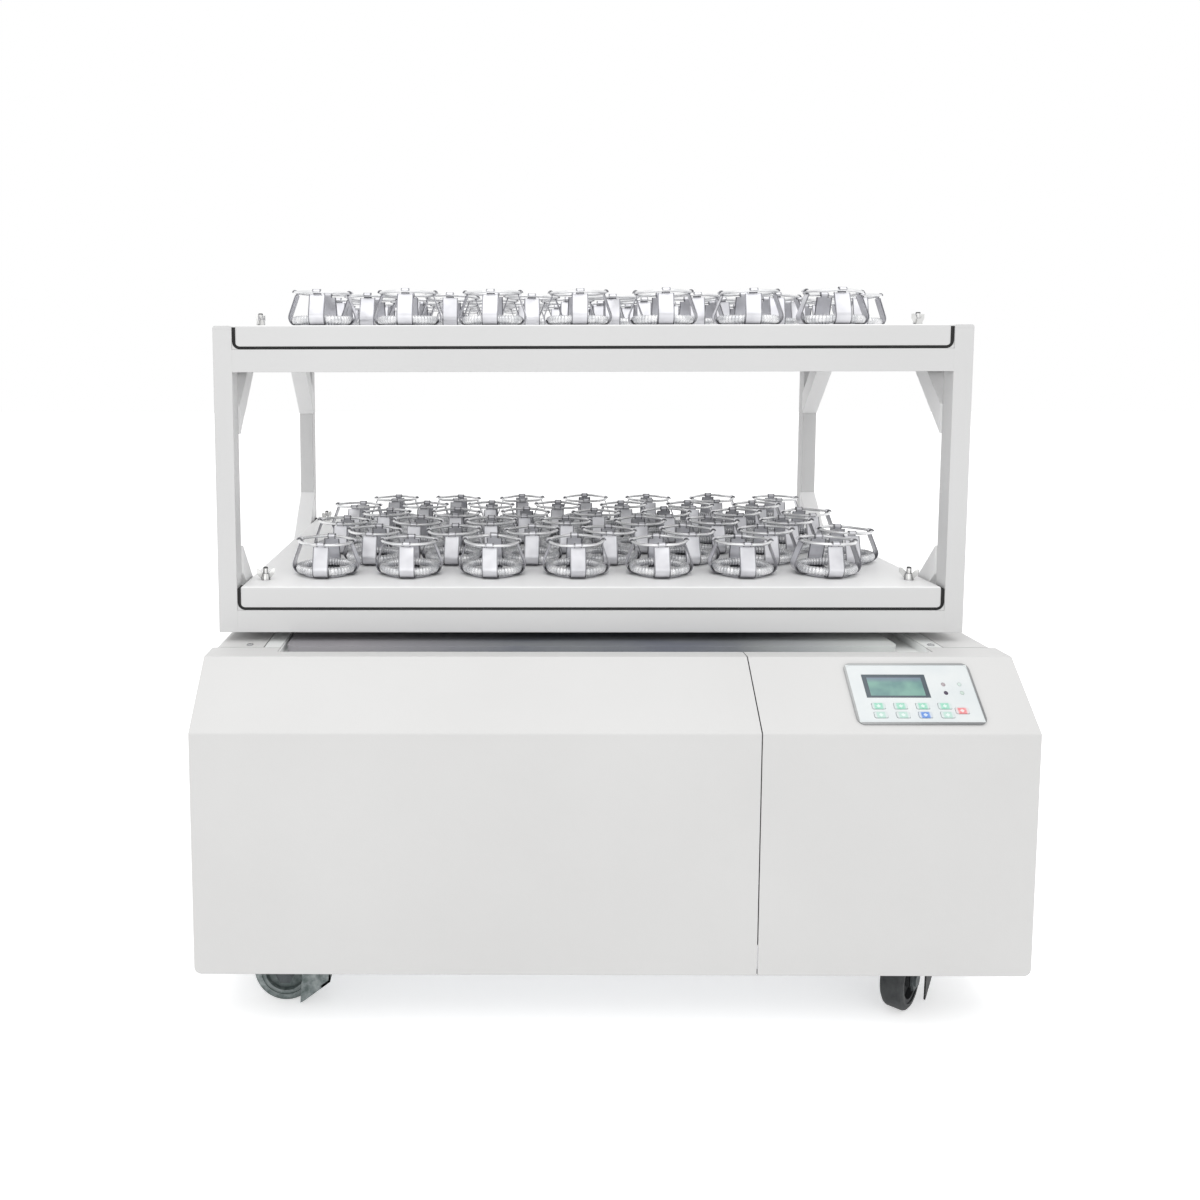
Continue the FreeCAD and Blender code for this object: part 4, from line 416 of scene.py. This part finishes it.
nodeFinish = {
    "cabinet": ("front_cover", "control_cover", "left_side_panel", "right_side_panel", "rear_panel"),
    "deck": ("deck_plate",),
    "rack": ("rack_frame",),
    "brace": ("rack_braces",),
    "tray": ("upper_tray", "lower_tray"),
    "primer": ("base_rails", "mounting_plate"),
    "zinc": ("bottom_plate", "caster_plates", "rear_caster_forks", "power_supply"),
    "casterSteel": ("front_left_caster_fork", "front_right_caster_fork"),
    "clampSteel": ("upper_flask_clamps", "lower_flask_clamps"),
    "wireSteel": ("clamp_rings",),
    "screwSteel": ("clamp_screws", "cover_screws", "rack_fasteners"),
    "chromed": ("tray_thumbscrews",),
    "bearing": ("shaft_bearings", "main_crankshaft", "idler_crank_1", "idler_crank_2", "idler_crank_3"),
    "aluminium": ("drive_platform",),
    "pulley": ("main_pulley", "motor_pulley", "platform_hubs"),
    "casting": ("main_bearing_housing", "idler_housings", "counterweight"),
    "enamel": ("motor",),
    "belt": ("drive_belt",),
    "tyre": ("front_right_wheel", "rear_left_wheel", "rear_right_wheel"),
    "paleCasterSkin": ("front_left_wheel", "front_left_brake_pedal"),
    "dark": ("power_entry", "mains_rocker_switch", "front_right_brake_pedal"),
    "laminate": ("control_board",),
    "film": ("panel_overlay",),
    "display": ("lcd_screen",),
    "lamp": ("indicator_lights",),
    "keyGreen": ("key_1", "key_2", "key_3", "key_4", "key_5", "key_6", "key_8"),
    "keyBlue": ("key_7",),
    "keyRed": ("key_stop",),
}

for finish, names in nodeFinish.items():
    for name in names:
        node = nodes[name]
        node.data.materials.clear()
        node.data.materials.append(finishes[finish])
print("finishes given to", sum(len(names) for names in nodeFinish.values()), "nodes")


class Solid:
    # points in millimetres and faces of one piece, each face with the number of its finish
    def __init__(self):
        self.points, self.faces, self.finish = [], [], []

    def skin(self, rows, finish=0, closed=False, loop=False, capped=False):
        # quads over rows of points, each row closed to a ring, the rows closed to a loop, or the ends capped;
        # finish is one number, or one for each column
        start, wide = len(self.points), len(rows[0])
        for row in rows:
            self.points.extend(row)
        for line in range(len(rows) if loop else len(rows) - 1):
            for spot in range(wide if closed else wide - 1):
                here, above = start + line * wide, start + (line + 1) % len(rows) * wide
                beside = (spot + 1) % wide
                self.faces.append((here + spot, here + beside, above + beside, above + spot))
                self.finish.append(finish if isinstance(finish, int) else finish[spot])
        if capped:
            last = start + (len(rows) - 1) * wide
            self.faces.append(tuple(range(start + wide - 1, start - 1, -1)))
            self.faces.append(tuple(range(last, last + wide)))
            self.finish += [finish if isinstance(finish, int) else finish[0]] * 2

    def block(self, low, high):
        corners = ((low[0], low[1]), (high[0], low[1]), (high[0], high[1]), (low[0], high[1]))
        self.skin([[(x, y, z) for x, y in corners] for z in (low[2], high[2])], closed=True, capped=True)

    def turned(self, profile, spot, sides):
        # a profile of (radius, height) turned about Z at the given spot
        x, y, z = spot
        turns = [2 * math.pi * step / sides for step in range(sides)]
        rows = [[(x + radius * math.cos(turn), y + radius * math.sin(turn), z + height) for turn in turns]
                for radius, height in profile]
        self.skin(rows, closed=True, capped=True)

    def hoop(self, place, thick, sides, steps, finish=0):
        # a closed ring of wire; place gives a point from the angle, the way out and the way up
        rows = []
        for step in range(steps):
            angle, wire = 2 * math.pi * step / steps, thick(step)
            turns = [2 * math.pi * side / sides for side in range(sides)]
            rows.append([place(angle, wire * math.cos(turn), wire * math.sin(turn)) for turn in turns])
        self.skin(rows, finish, closed=True, loop=True)

    def build(self, name, body, looks, crease=0.6):
        mesh = bpy.data.meshes.new(name)
        mesh.from_pydata([(x / 1000, y / 1000, z / 1000) for x, y, z in self.points], [], self.faces)
        for look in looks:
            mesh.materials.append(finishes[look])
        mesh.polygons.foreach_set("material_index", self.finish)
        mesh.polygons.foreach_set("use_smooth", [True] * len(self.faces))
        mesh.set_sharp_from_angle(angle=crease)
        mesh.validate()
        mesh.update()
        piece = bpy.data.objects.new(name, mesh)
        bpy.context.scene.collection.objects.link(piece)
        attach(piece, body)
        return piece


# the trays where the drive rests, in millimetres like all the pieces below
rest = {"x": -13.0, "front": -255.0, "depth": 580.0, "trayTops": (479.6, 794.6)}
clamp = {"rows": 6, "columns": 7, "shift": -10.0, "pitch": 107.0, "firstRow": 82.0, "rowPitch": 83.2,
         "yaw": -3.0, "yawSpread": 2.5, "yawStep": 2.4, "disc": 31.0, "gauge": 1.2, "foot": 26.0, "bend": 11.0,
         "bendSteps": 8, "hookX": 34.5, "hookZ": 45.0, "hook": 3.0, "hookSweep": 200.0, "lean": 19.4,
         "width": 20.0, "shoulder": 41.4, "hookWidth": 10.0, "edge": 1.3, "ring": 34.5, "wire": 2.0,
         "sway": 0.03, "tilt": 0.0013, "tiltEase": 1.42, "tiltReach": 40.0, "sag": (0.2, 1.1), "sagSwing": 0.5,
         "coil": 34.2, "coilThick": 5.5, "coilZ": 8.7, "ribs": 52, "ribDepth": 1.3,
         "ribShape": (0.0, 0.35, 1.0, 0.35), "discSides": 40, "wireSides": 10, "wireSteps": 48, "coilSides": 8,
         "discProfile": ((1.5, 0.01), (30.7, 0.01), (31.0, 0.4), (31.0, 1.0), (30.7, 1.2), (1.5, 1.2))}


def clampPlaces():
    # x, y and turn of each clamp on a tray, in staggered rows
    for row in range(clamp["rows"]):
        shift = clamp["shift"] + (clamp["pitch"] / 2 if row % 2 else 0.0)
        for column in range(clamp["columns"]):
            index = row * clamp["columns"] + column
            yaw = clamp["yaw"] + clamp["yawSpread"] * math.sin(clamp["yawStep"] * index)
            yield (rest["x"] + shift + (column - (clamp["columns"] - 1) / 2) * clamp["pitch"],
                   rest["front"] + clamp["firstRow"] + row * clamp["rowPitch"], math.radians(yaw))


def fingerLine():
    # radius, height, outward normal and width along one finger, from its foot to the end of its hook
    line = [(clamp["foot"], clamp["gauge"] * 1.5, -90.0, clamp["width"])]
    middle = clamp["disc"], clamp["gauge"] * 1.5 + clamp["bend"]
    for step in range(clamp["bendSteps"] + 1):
        angle = -90.0 + (90.0 + clamp["lean"]) * step / clamp["bendSteps"]
        turn = math.radians(angle)
        line.append((middle[0] + clamp["bend"] * math.cos(turn), middle[1] + clamp["bend"] * math.sin(turn),
                     angle, clamp["width"]))
    lean = math.radians(clamp["lean"])
    start = line[-1]
    end = clamp["hookX"] - clamp["hook"] * math.cos(lean), clamp["hookZ"] - clamp["hook"] * math.sin(lean)
    share = (clamp["shoulder"] - start[1]) / (end[1] - start[1])
    neck = (start[0] + (end[0] - start[0]) * share, clamp["shoulder"])
    line.append((*neck, clamp["lean"], clamp["width"]))
    line.append((*neck, clamp["lean"], clamp["hookWidth"]))
    for step in range(clamp["bendSteps"] + 1):
        angle = 180.0 + clamp["lean"] - clamp["hookSweep"] * step / clamp["bendSteps"]
        turn = math.radians(angle)
        line.append((clamp["hookX"] + clamp["hook"] * math.cos(turn),
                     clamp["hookZ"] + clamp["hook"] * math.sin(turn), angle - 180.0, clamp["hookWidth"]))
    return line


def buildClamps(name, body, top, chance):
    steel, wire = Solid(), Solid()
    line = fingerLine()
    half, edge = clamp["gauge"] / 2, clamp["edge"]
    for x, y, yaw in clampPlaces():
        leanX, leanY = (chance.uniform(-clamp["sway"], clamp["sway"]) for _ in range(2))
        tiltX, tiltY = (chance.uniform(-clamp["tilt"], clamp["tilt"]) / clamp["tiltEase"] for _ in range(2))
        sag, swing = chance.uniform(*clamp["sag"]), chance.uniform(0.0, clamp["sagSwing"])

        def bent(across, along, high):
            # the clamp's upper part leans and dips a little to one side, as sprung sheet does
            rise = max(0.0, high - clamp["coilZ"])
            level = high - rise * (clamp["tilt"] * clamp["tiltReach"] + tiltX * across + tiltY * along)
            return x + across + leanX * rise, y + along + leanY * rise, top + level

        def stand(out, side, high, turn):
            across = out * math.cos(turn) - side * math.sin(turn)
            along = out * math.sin(turn) + side * math.cos(turn)
            return bent(across, along, high)

        steel.turned(clamp["discProfile"], (x, y, top), clamp["discSides"])
        for finger in range(4):
            turn = yaw + finger * math.pi / 2
            rows = []
            for out, high, angle, width in line:
                tip = math.radians(angle)
                near, far, wide = half * math.cos(tip), half * math.sin(tip), width / 2
                rows.append([stand(out + near, side, high + far, turn)
                             for side in (-wide, edge - wide, wide - edge, wide)]
                            + [stand(out - near, side, high - far, turn)
                               for side in (wide, wide - edge, edge - wide, -wide)])
            # the edge bands and cut sides take the dark finish: painted dark reflection
            steel.skin(rows, (1, 0, 1, 1, 1, 0, 1, 1), closed=True, capped=True)

        def drape(angle, out, up):
            # the wire sags between the hooks
            dip = sag * math.sin(2 * (angle - yaw)) ** 2 * (1.0 + swing * math.sin(angle))
            reach = clamp["ring"] + out
            return bent(reach * math.cos(angle), reach * math.sin(angle), clamp["hookZ"] - dip + up)

        def coiled(angle, out, up):
            reach = clamp["coil"] + out
            return x + reach * math.cos(angle), y + reach * math.sin(angle), top + clamp["coilZ"] + up

        def ribbed(step):
            return clamp["coilThick"] - clamp["ribDepth"] * clamp["ribShape"][step % len(clamp["ribShape"])]

        wire.hoop(drape, lambda step: clamp["wire"], clamp["wireSides"], clamp["wireSteps"])
        wire.hoop(coiled, ribbed, clamp["coilSides"], len(clamp["ribShape"]) * clamp["ribs"], 1)
    sheet = steel.build(name + "Clamps", body, ("clampSteel", "clampEdgeShade"))
    rings = wire.build(name + "ClampWires", body, ("wireSteel", "coilSteel"), crease=1.2)
    return sheet, rings


seat = {"trayLeft": -436.9, "trayRight": 410.9, "wide": 3.5, "apron": 25.0, "reach": 22.6, "corner": 6.0,
        "setback": 1.6, "depth": 21.0, "weldProud": 1.2, "steps": 6}


def cornerRun(edge, side, low):
    # the inner and outer edge of one lower corner's strip, from its top end to its foot
    inner, outer = [(edge, low + seat["reach"])], [(edge + side * seat["wide"], low + seat["reach"])]
    centre = edge - side * seat["corner"], low + seat["corner"]
    for step in range(seat["steps"] + 1):
        turn = math.pi / 2 * step / seat["steps"]
        for run, radius in ((inner, seat["corner"]), (outer, seat["corner"] + seat["wide"])):
            run.append((centre[0] + side * radius * math.cos(turn), centre[1] - radius * math.sin(turn)))
    return inner, outer


def buildSeats():
    # black strip between each tray and its beams, standing for the shadowed gap there: painted shade; and the
    # weld that rounds the rack's corner outside it
    shadeStrip, weld = Solid(), Solid()
    frontEdge = rest["front"] + seat["setback"]
    rearEdge = rest["front"] + rest["depth"] - seat["setback"]
    for top in rest["trayTops"]:
        low = top - seat["apron"]
        left, right = cornerRun(seat["trayLeft"], -1, low), cornerRun(seat["trayRight"], 1, low)
        inner, outer = left[0] + right[0][::-1], left[1] + right[1][::-1]
        for front, back in ((frontEdge, frontEdge + seat["depth"]), (rearEdge - seat["depth"], rearEdge)):
            shadeStrip.skin([[(inX, front, inZ), (outX, front, outZ), (outX, back, outZ), (inX, back, inZ)]
                         for (inX, inZ), (outX, outZ) in zip(inner, outer)], closed=True, capped=True)
            for run in (left[1], right[1]):
                corner = (run[1][0], run[-1][1])
                rows = [[(x, y, z) for x, z in [corner] + run[1:]] for y in (front - seat["weldProud"], back)]
                weld.skin(rows, closed=True, capped=True)
    shadeStrip.build("traySeatShadeStrips", "platform", ("belt",))
    weld.build("cornerWelds", "platform", ("rack",))


liner = {"halfX": 384.0, "front": -297.0, "back": 367.0, "lip": 40.0, "low": 400.6, "high": 410.5, "gauge": 1.5}


def buildLiner():
    # folded sheet round the deck's opening, which shows in the gap beside the moving plate
    sheet = Solid()
    outline = [(-liner["halfX"], liner["front"]), (liner["halfX"], liner["front"]),
               (liner["halfX"], liner["back"]), (-liner["halfX"], liner["back"])]
    # the way inward from each corner of the outline
    ways = [(1, 1), (-1, 1), (-1, -1), (1, -1)]
    levels = ((0.0, liner["high"]), (0.0, liner["low"]), (liner["lip"], liner["low"]),
              (liner["lip"], liner["low"] + liner["gauge"]), (liner["gauge"], liner["low"] + liner["gauge"]),
              (liner["gauge"], liner["high"]))
    rows = [[(x + wayX * inset, y + wayY * inset, z) for (x, y), (wayX, wayY) in zip(outline, ways)]
            for inset, z in levels]
    sheet.skin(rows, closed=True, loop=True)
    sheet.build("wellLiner", "base", ("liner",))


# a crossed pan head, its lengths as shares of the radius; "inside" is a point in the cabinet, in metres
head = {"rise": 0.55, "cross": 0.46, "slot": 0.13, "sink": 0.35, "rings": 10, "sides": 48, "rim": 0.9,
        "inside": (0.0, 0.0, 0.2)}


def looseParts(mesh):
    # the point lists of a mesh's separate pieces; points at one place count as joined
    owner, met = list(range(len(mesh.vertices))), {}

    def root(point):
        while owner[point] != point:
            owner[point] = owner[owner[point]]
            point = owner[point]
        return point

    for line in mesh.edges:
        first, second = (root(point) for point in line.vertices)
        owner[first] = second
    for point in mesh.vertices:
        twin = met.setdefault(tuple(round(value, 5) for value in point.co), point.index)
        owner[root(point.index)] = root(twin)
    parts = {}
    for point in range(len(owner)):
        parts.setdefault(root(point), []).append(point)
    return parts.values()


def headShapes(node):
    # middle, outward axis, radius and height of each screw head of a node
    mesh, place = node.data, node.matrix_world
    faces = {}
    for face in mesh.polygons:
        for point in face.vertices:
            faces.setdefault(point, set()).add(face.index)
    for part in looseParts(mesh):
        sums = {}
        for index in set().union(*(faces[point] for point in part)):
            face = mesh.polygons[index]
            key = tuple(round(value, 2) for value in face.normal)
            sums[key] = sums.get(key, 0.0) + face.area
        spots = [place @ mesh.vertices[point].co for point in part]
        middle = Vector(min(line) + max(line) for line in zip(*spots)) / 2
        axis = (place.to_3x3() @ Vector(max(sums, key=sums.get))).normalized()
        if axis.dot(middle - Vector(head["inside"])) < 0:
            axis = -axis
        heights = [axis.dot(spot - middle) for spot in spots]
        reaches = [((spot - middle) - axis * high).length for spot, high in zip(spots, heights)]
        radius = max(reaches)
        # the head starts where the shank's radius ends
        low = min(high for high, reach in zip(heights, reaches) if reach > head["rim"] * radius)
        yield middle + axis * low, axis, radius, max(heights) - low


def buildPanHeads(name, node, body, look, chance):
    heads = Solid()
    turns = [2 * math.pi * step / head["sides"] for step in range(head["sides"])]
    for foot, axis, radius, height in headShapes(nodes[node]):
        radius, height = radius * 1000, height * 1000
        place = (Matrix.Translation(foot * 1000) @ axis.to_track_quat("Z", "Y").to_matrix().to_4x4()
                 @ Matrix.Rotation(chance.uniform(0.0, 1.5), 4, "Z"))
        rows = [[place @ Vector((radius * math.cos(turn), radius * math.sin(turn), 0.0)) for turn in turns]]
        for ring in range(head["rings"], -1, -1):
            share = ring / head["rings"]
            row = []
            for turn in turns:
                x, y = share * math.cos(turn), share * math.sin(turn)
                high = height * (1.0 - head["rise"] * share ** 3)
                if min(abs(x), abs(y)) < head["slot"] and max(abs(x), abs(y)) < head["cross"]:
                    high -= head["sink"] * height
                row.append(place @ Vector((radius * x, radius * y, high)))
            rows.append(row)
        heads.skin([[tuple(spot) for spot in row] for row in rows], closed=True, capped=True)
    piece = heads.build(name, body, (look,), crease=0.7)
    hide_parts(node)


stud = {"x": 402.0, "inset": 44.0, "top": 16.15, "radius": 3.05, "pitch": 1.0, "depth": 0.35, "length": 6.5,
        "chamfer": 0.8, "foot": (0.4, 0.0), "endStep": 0.2, "sides": 16}


def buildStudEnds():
    # threaded ends of the tray studs, above their nuts
    threads = Solid()
    profile, high = [stud["foot"]], 0.0
    while high < stud["length"] - stud["chamfer"]:
        profile += [(stud["radius"], high), (stud["radius"] - stud["depth"], high + stud["pitch"] / 2)]
        high += stud["pitch"]
    profile += [(stud["radius"] - stud["endStep"], stud["length"] - stud["chamfer"]),
                (stud["radius"] - stud["chamfer"], stud["length"])]
    for top in rest["trayTops"]:
        for x in (rest["x"] - stud["x"], rest["x"] + stud["x"]):
            for y in (rest["front"] + stud["inset"], rest["front"] + rest["depth"] - stud["inset"]):
                threads.turned(profile, (x, y, top + stud["top"] - stud["length"]), stud["sides"])
    threads.build("studEnds", "platform", ("studSteel",), crease=1.4)


# the front casters' upright axes, and the hood's side outlines as (along, height)
caster = {"x": 360.0, "y": -315.0, "half": 19.4, "gauge": 2.0,
          "cheek": ((7.0, 59.0), (3.0, 2.5), (8.0, 5.4), (38.5, 28.5), (39.0, 36.0), (17.5, 72.0), (8.0, 69.0)),
          "front": ((29.0, 21.3), (38.5, 28.5), (39.0, 36.0), (29.0, 52.0))}


def buildHood(side, x, swivel):
    # pressed hood over the brake pedal: two cheeks beside the wheel and a folded front
    turn = Matrix.Translation((x, caster["y"], 0.0)) @ Matrix.Rotation(math.radians(swivel), 4, "Z")
    hood = Solid()

    def stand(along, out, high):
        return tuple(turn @ Vector((along, out, high)))

    for way in (-1, 1):
        outer, inner = way * caster["half"], way * (caster["half"] - caster["gauge"])
        hood.skin([[stand(along, out, high) for along, high in caster["cheek"]] for out in (inner, outer)],
                  closed=True, capped=True)
    rows = []
    for along, high in caster["front"]:
        rows.append([stand(along, -caster["half"], high), stand(along, caster["half"], high),
                     stand(along - caster["gauge"], caster["half"], high + caster["gauge"]),
                     stand(along - caster["gauge"], -caster["half"], high + caster["gauge"])])
    hood.skin(rows, closed=True, capped=True)
    piece = hood.build(side + "BrakeHood", "front_%s_brake" % side, ("paleCasterSkin" if side == "left" else "dark",))
    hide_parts("front_%s_brake_pedal" % side)


inlet = {"x": -330.0, "z": 183.0, "deep": 16.0, "sunk": 3.0, "pin": (2.0, 4.2),
         "pins": ((-7.0, -1.6), (0.0, 2.0), (7.0, -1.6))}


def buildInlet():
    # three pins in the power socket
    pins = Solid()
    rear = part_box("power_entry")[1][1] * 1000
    wide, tall = inlet["pin"][0] / 2, inlet["pin"][1] / 2
    for across, up in inlet["pins"]:
        x, z = inlet["x"] + across, inlet["z"] + up
        pins.block((x - wide, rear - inlet["deep"], z - tall), (x + wide, rear - inlet["sunk"], z + tall))
    pins.build("inletPins", "base", ("screwSteel",))


chance = random.Random(11)
lowClamps, lowWires = buildClamps("lower", "platform", rest["trayTops"][0], chance)
highClamps, _ = buildClamps("upper", "platform", rest["trayTops"][1], chance)
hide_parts("lower_flask_clamps")
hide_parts("upper_flask_clamps")
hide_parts("clamp_rings")
print("clamps built")
buildSeats()
buildLiner()
buildPanHeads("panHeads", "cover_screws", "base", "screwSteel", chance)
buildStudEnds()
buildHood("left", -caster["x"], 0.0)
buildHood("right", caster["x"], 50.0)
buildInlet()
print("small pieces built")


studio = {"floorSize": 30.0, "floorColour": (0.88, 0.88, 0.88), "lift": 0.50, "world": 0.86,
          "lamps": (("topSoftbox", (-0.1, -1.2, 2.8), (-0.2, 0.0, 0.4), (3.0, 2.4), 24.0),
                    ("frontSoftbox", (-1.1, -3.8, 0.8), (0.0, 0.0, 0.45), (3.0, 2.4), 10.5)),
          "lens": 30.12, "sensor": 36.0, "shift": (0.1031, -0.1233), "spot": (-0.1407, -1.4508, 0.745),
          "yaw": 0.008, "pitch": 0.0846, "roll": -0.0017}
backdropRays = ("Is Camera Ray", "Is Glossy Ray", "Is Transmission Ray")


def whiteForCamera(graph):
    # 1 for the rays that should see a white background
    camera, glossy, through = (graph.put("ShaderNodeLightPath", out=name) for name in backdropRays)
    return (camera + glossy + through).clamped()


def buildFloor():
    half = studio["floorSize"] / 2
    mesh = bpy.data.meshes.new("studioFloor")
    corners = [(-half, -half, 0), (half, -half, 0), (half, half, 0), (-half, half, 0)]
    mesh.from_pydata(corners, [], [(0, 1, 2, 3)])
    floor = bpy.data.objects.new("studioFloor", mesh)
    bpy.context.scene.collection.objects.link(floor)
    shader = Shader("studioFloor")
    glow = shader.blend((0, 0, 0), (1, 1, 1), whiteForCamera(shader))
    mesh.materials.append(shader.finish(colour=studio["floorColour"], roughness=0.9, specular=0.0, glow=glow,
                                        glowStrength=studio["lift"]))


def buildWorld():
    # white for the rays that see the backdrop, a little less as light on the object
    world = bpy.data.worlds.new("studioWorld")
    bpy.context.scene.world = world
    world.use_nodes = True
    sky = Graph(world.node_tree)
    background = world.node_tree.nodes["Background"]
    sky.feed(background.inputs["Color"], (1.0, 1.0, 1.0))
    sky.feed(background.inputs["Strength"], sky.span(whiteForCamera(sky), 0.0, 1.0, studio["world"], 1.0))


def buildLamps():
    for name, spot, aim, size, power in studio["lamps"]:
        lamp = bpy.data.lights.new(name, "AREA")
        lamp.shape = "RECTANGLE"
        lamp.size, lamp.size_y = size
        lamp.energy = power
        holder = bpy.data.objects.new(name, lamp)
        holder.location = spot
        holder.rotation_euler = (Vector(aim) - Vector(spot)).to_track_quat("-Z", "Y").to_euler()
        bpy.context.scene.collection.objects.link(holder)


def buildCamera():
    # stands where the photo was taken from, as fitted to it
    yaw, pitch, roll = studio["yaw"], studio["pitch"], studio["roll"]
    right = Vector((math.cos(yaw), math.sin(yaw), 0.0))
    ahead = Vector((-math.sin(yaw) * math.cos(pitch), math.cos(yaw) * math.cos(pitch), -math.sin(pitch)))
    down = ahead.cross(right)
    side = right * math.cos(roll) - down * math.sin(roll)
    up = -(right * math.sin(roll) + down * math.cos(roll))
    lens = bpy.data.cameras.new("photoCamera")
    lens.lens = studio["lens"]
    lens.sensor_width = studio["sensor"]
    lens.shift_x, lens.shift_y = studio["shift"]
    camera = bpy.data.objects.new("photoCamera", lens)
    turn = Matrix((side, up, -ahead)).transposed().to_4x4()
    camera.matrix_world = Matrix.Translation(studio["spot"]) @ turn
    bpy.context.scene.collection.objects.link(camera)
    bpy.context.scene.camera = camera


buildFloor()
buildWorld()
buildLamps()
buildCamera()
bpy.context.scene.view_settings.view_transform = "Standard"
print("studio and camera ready")
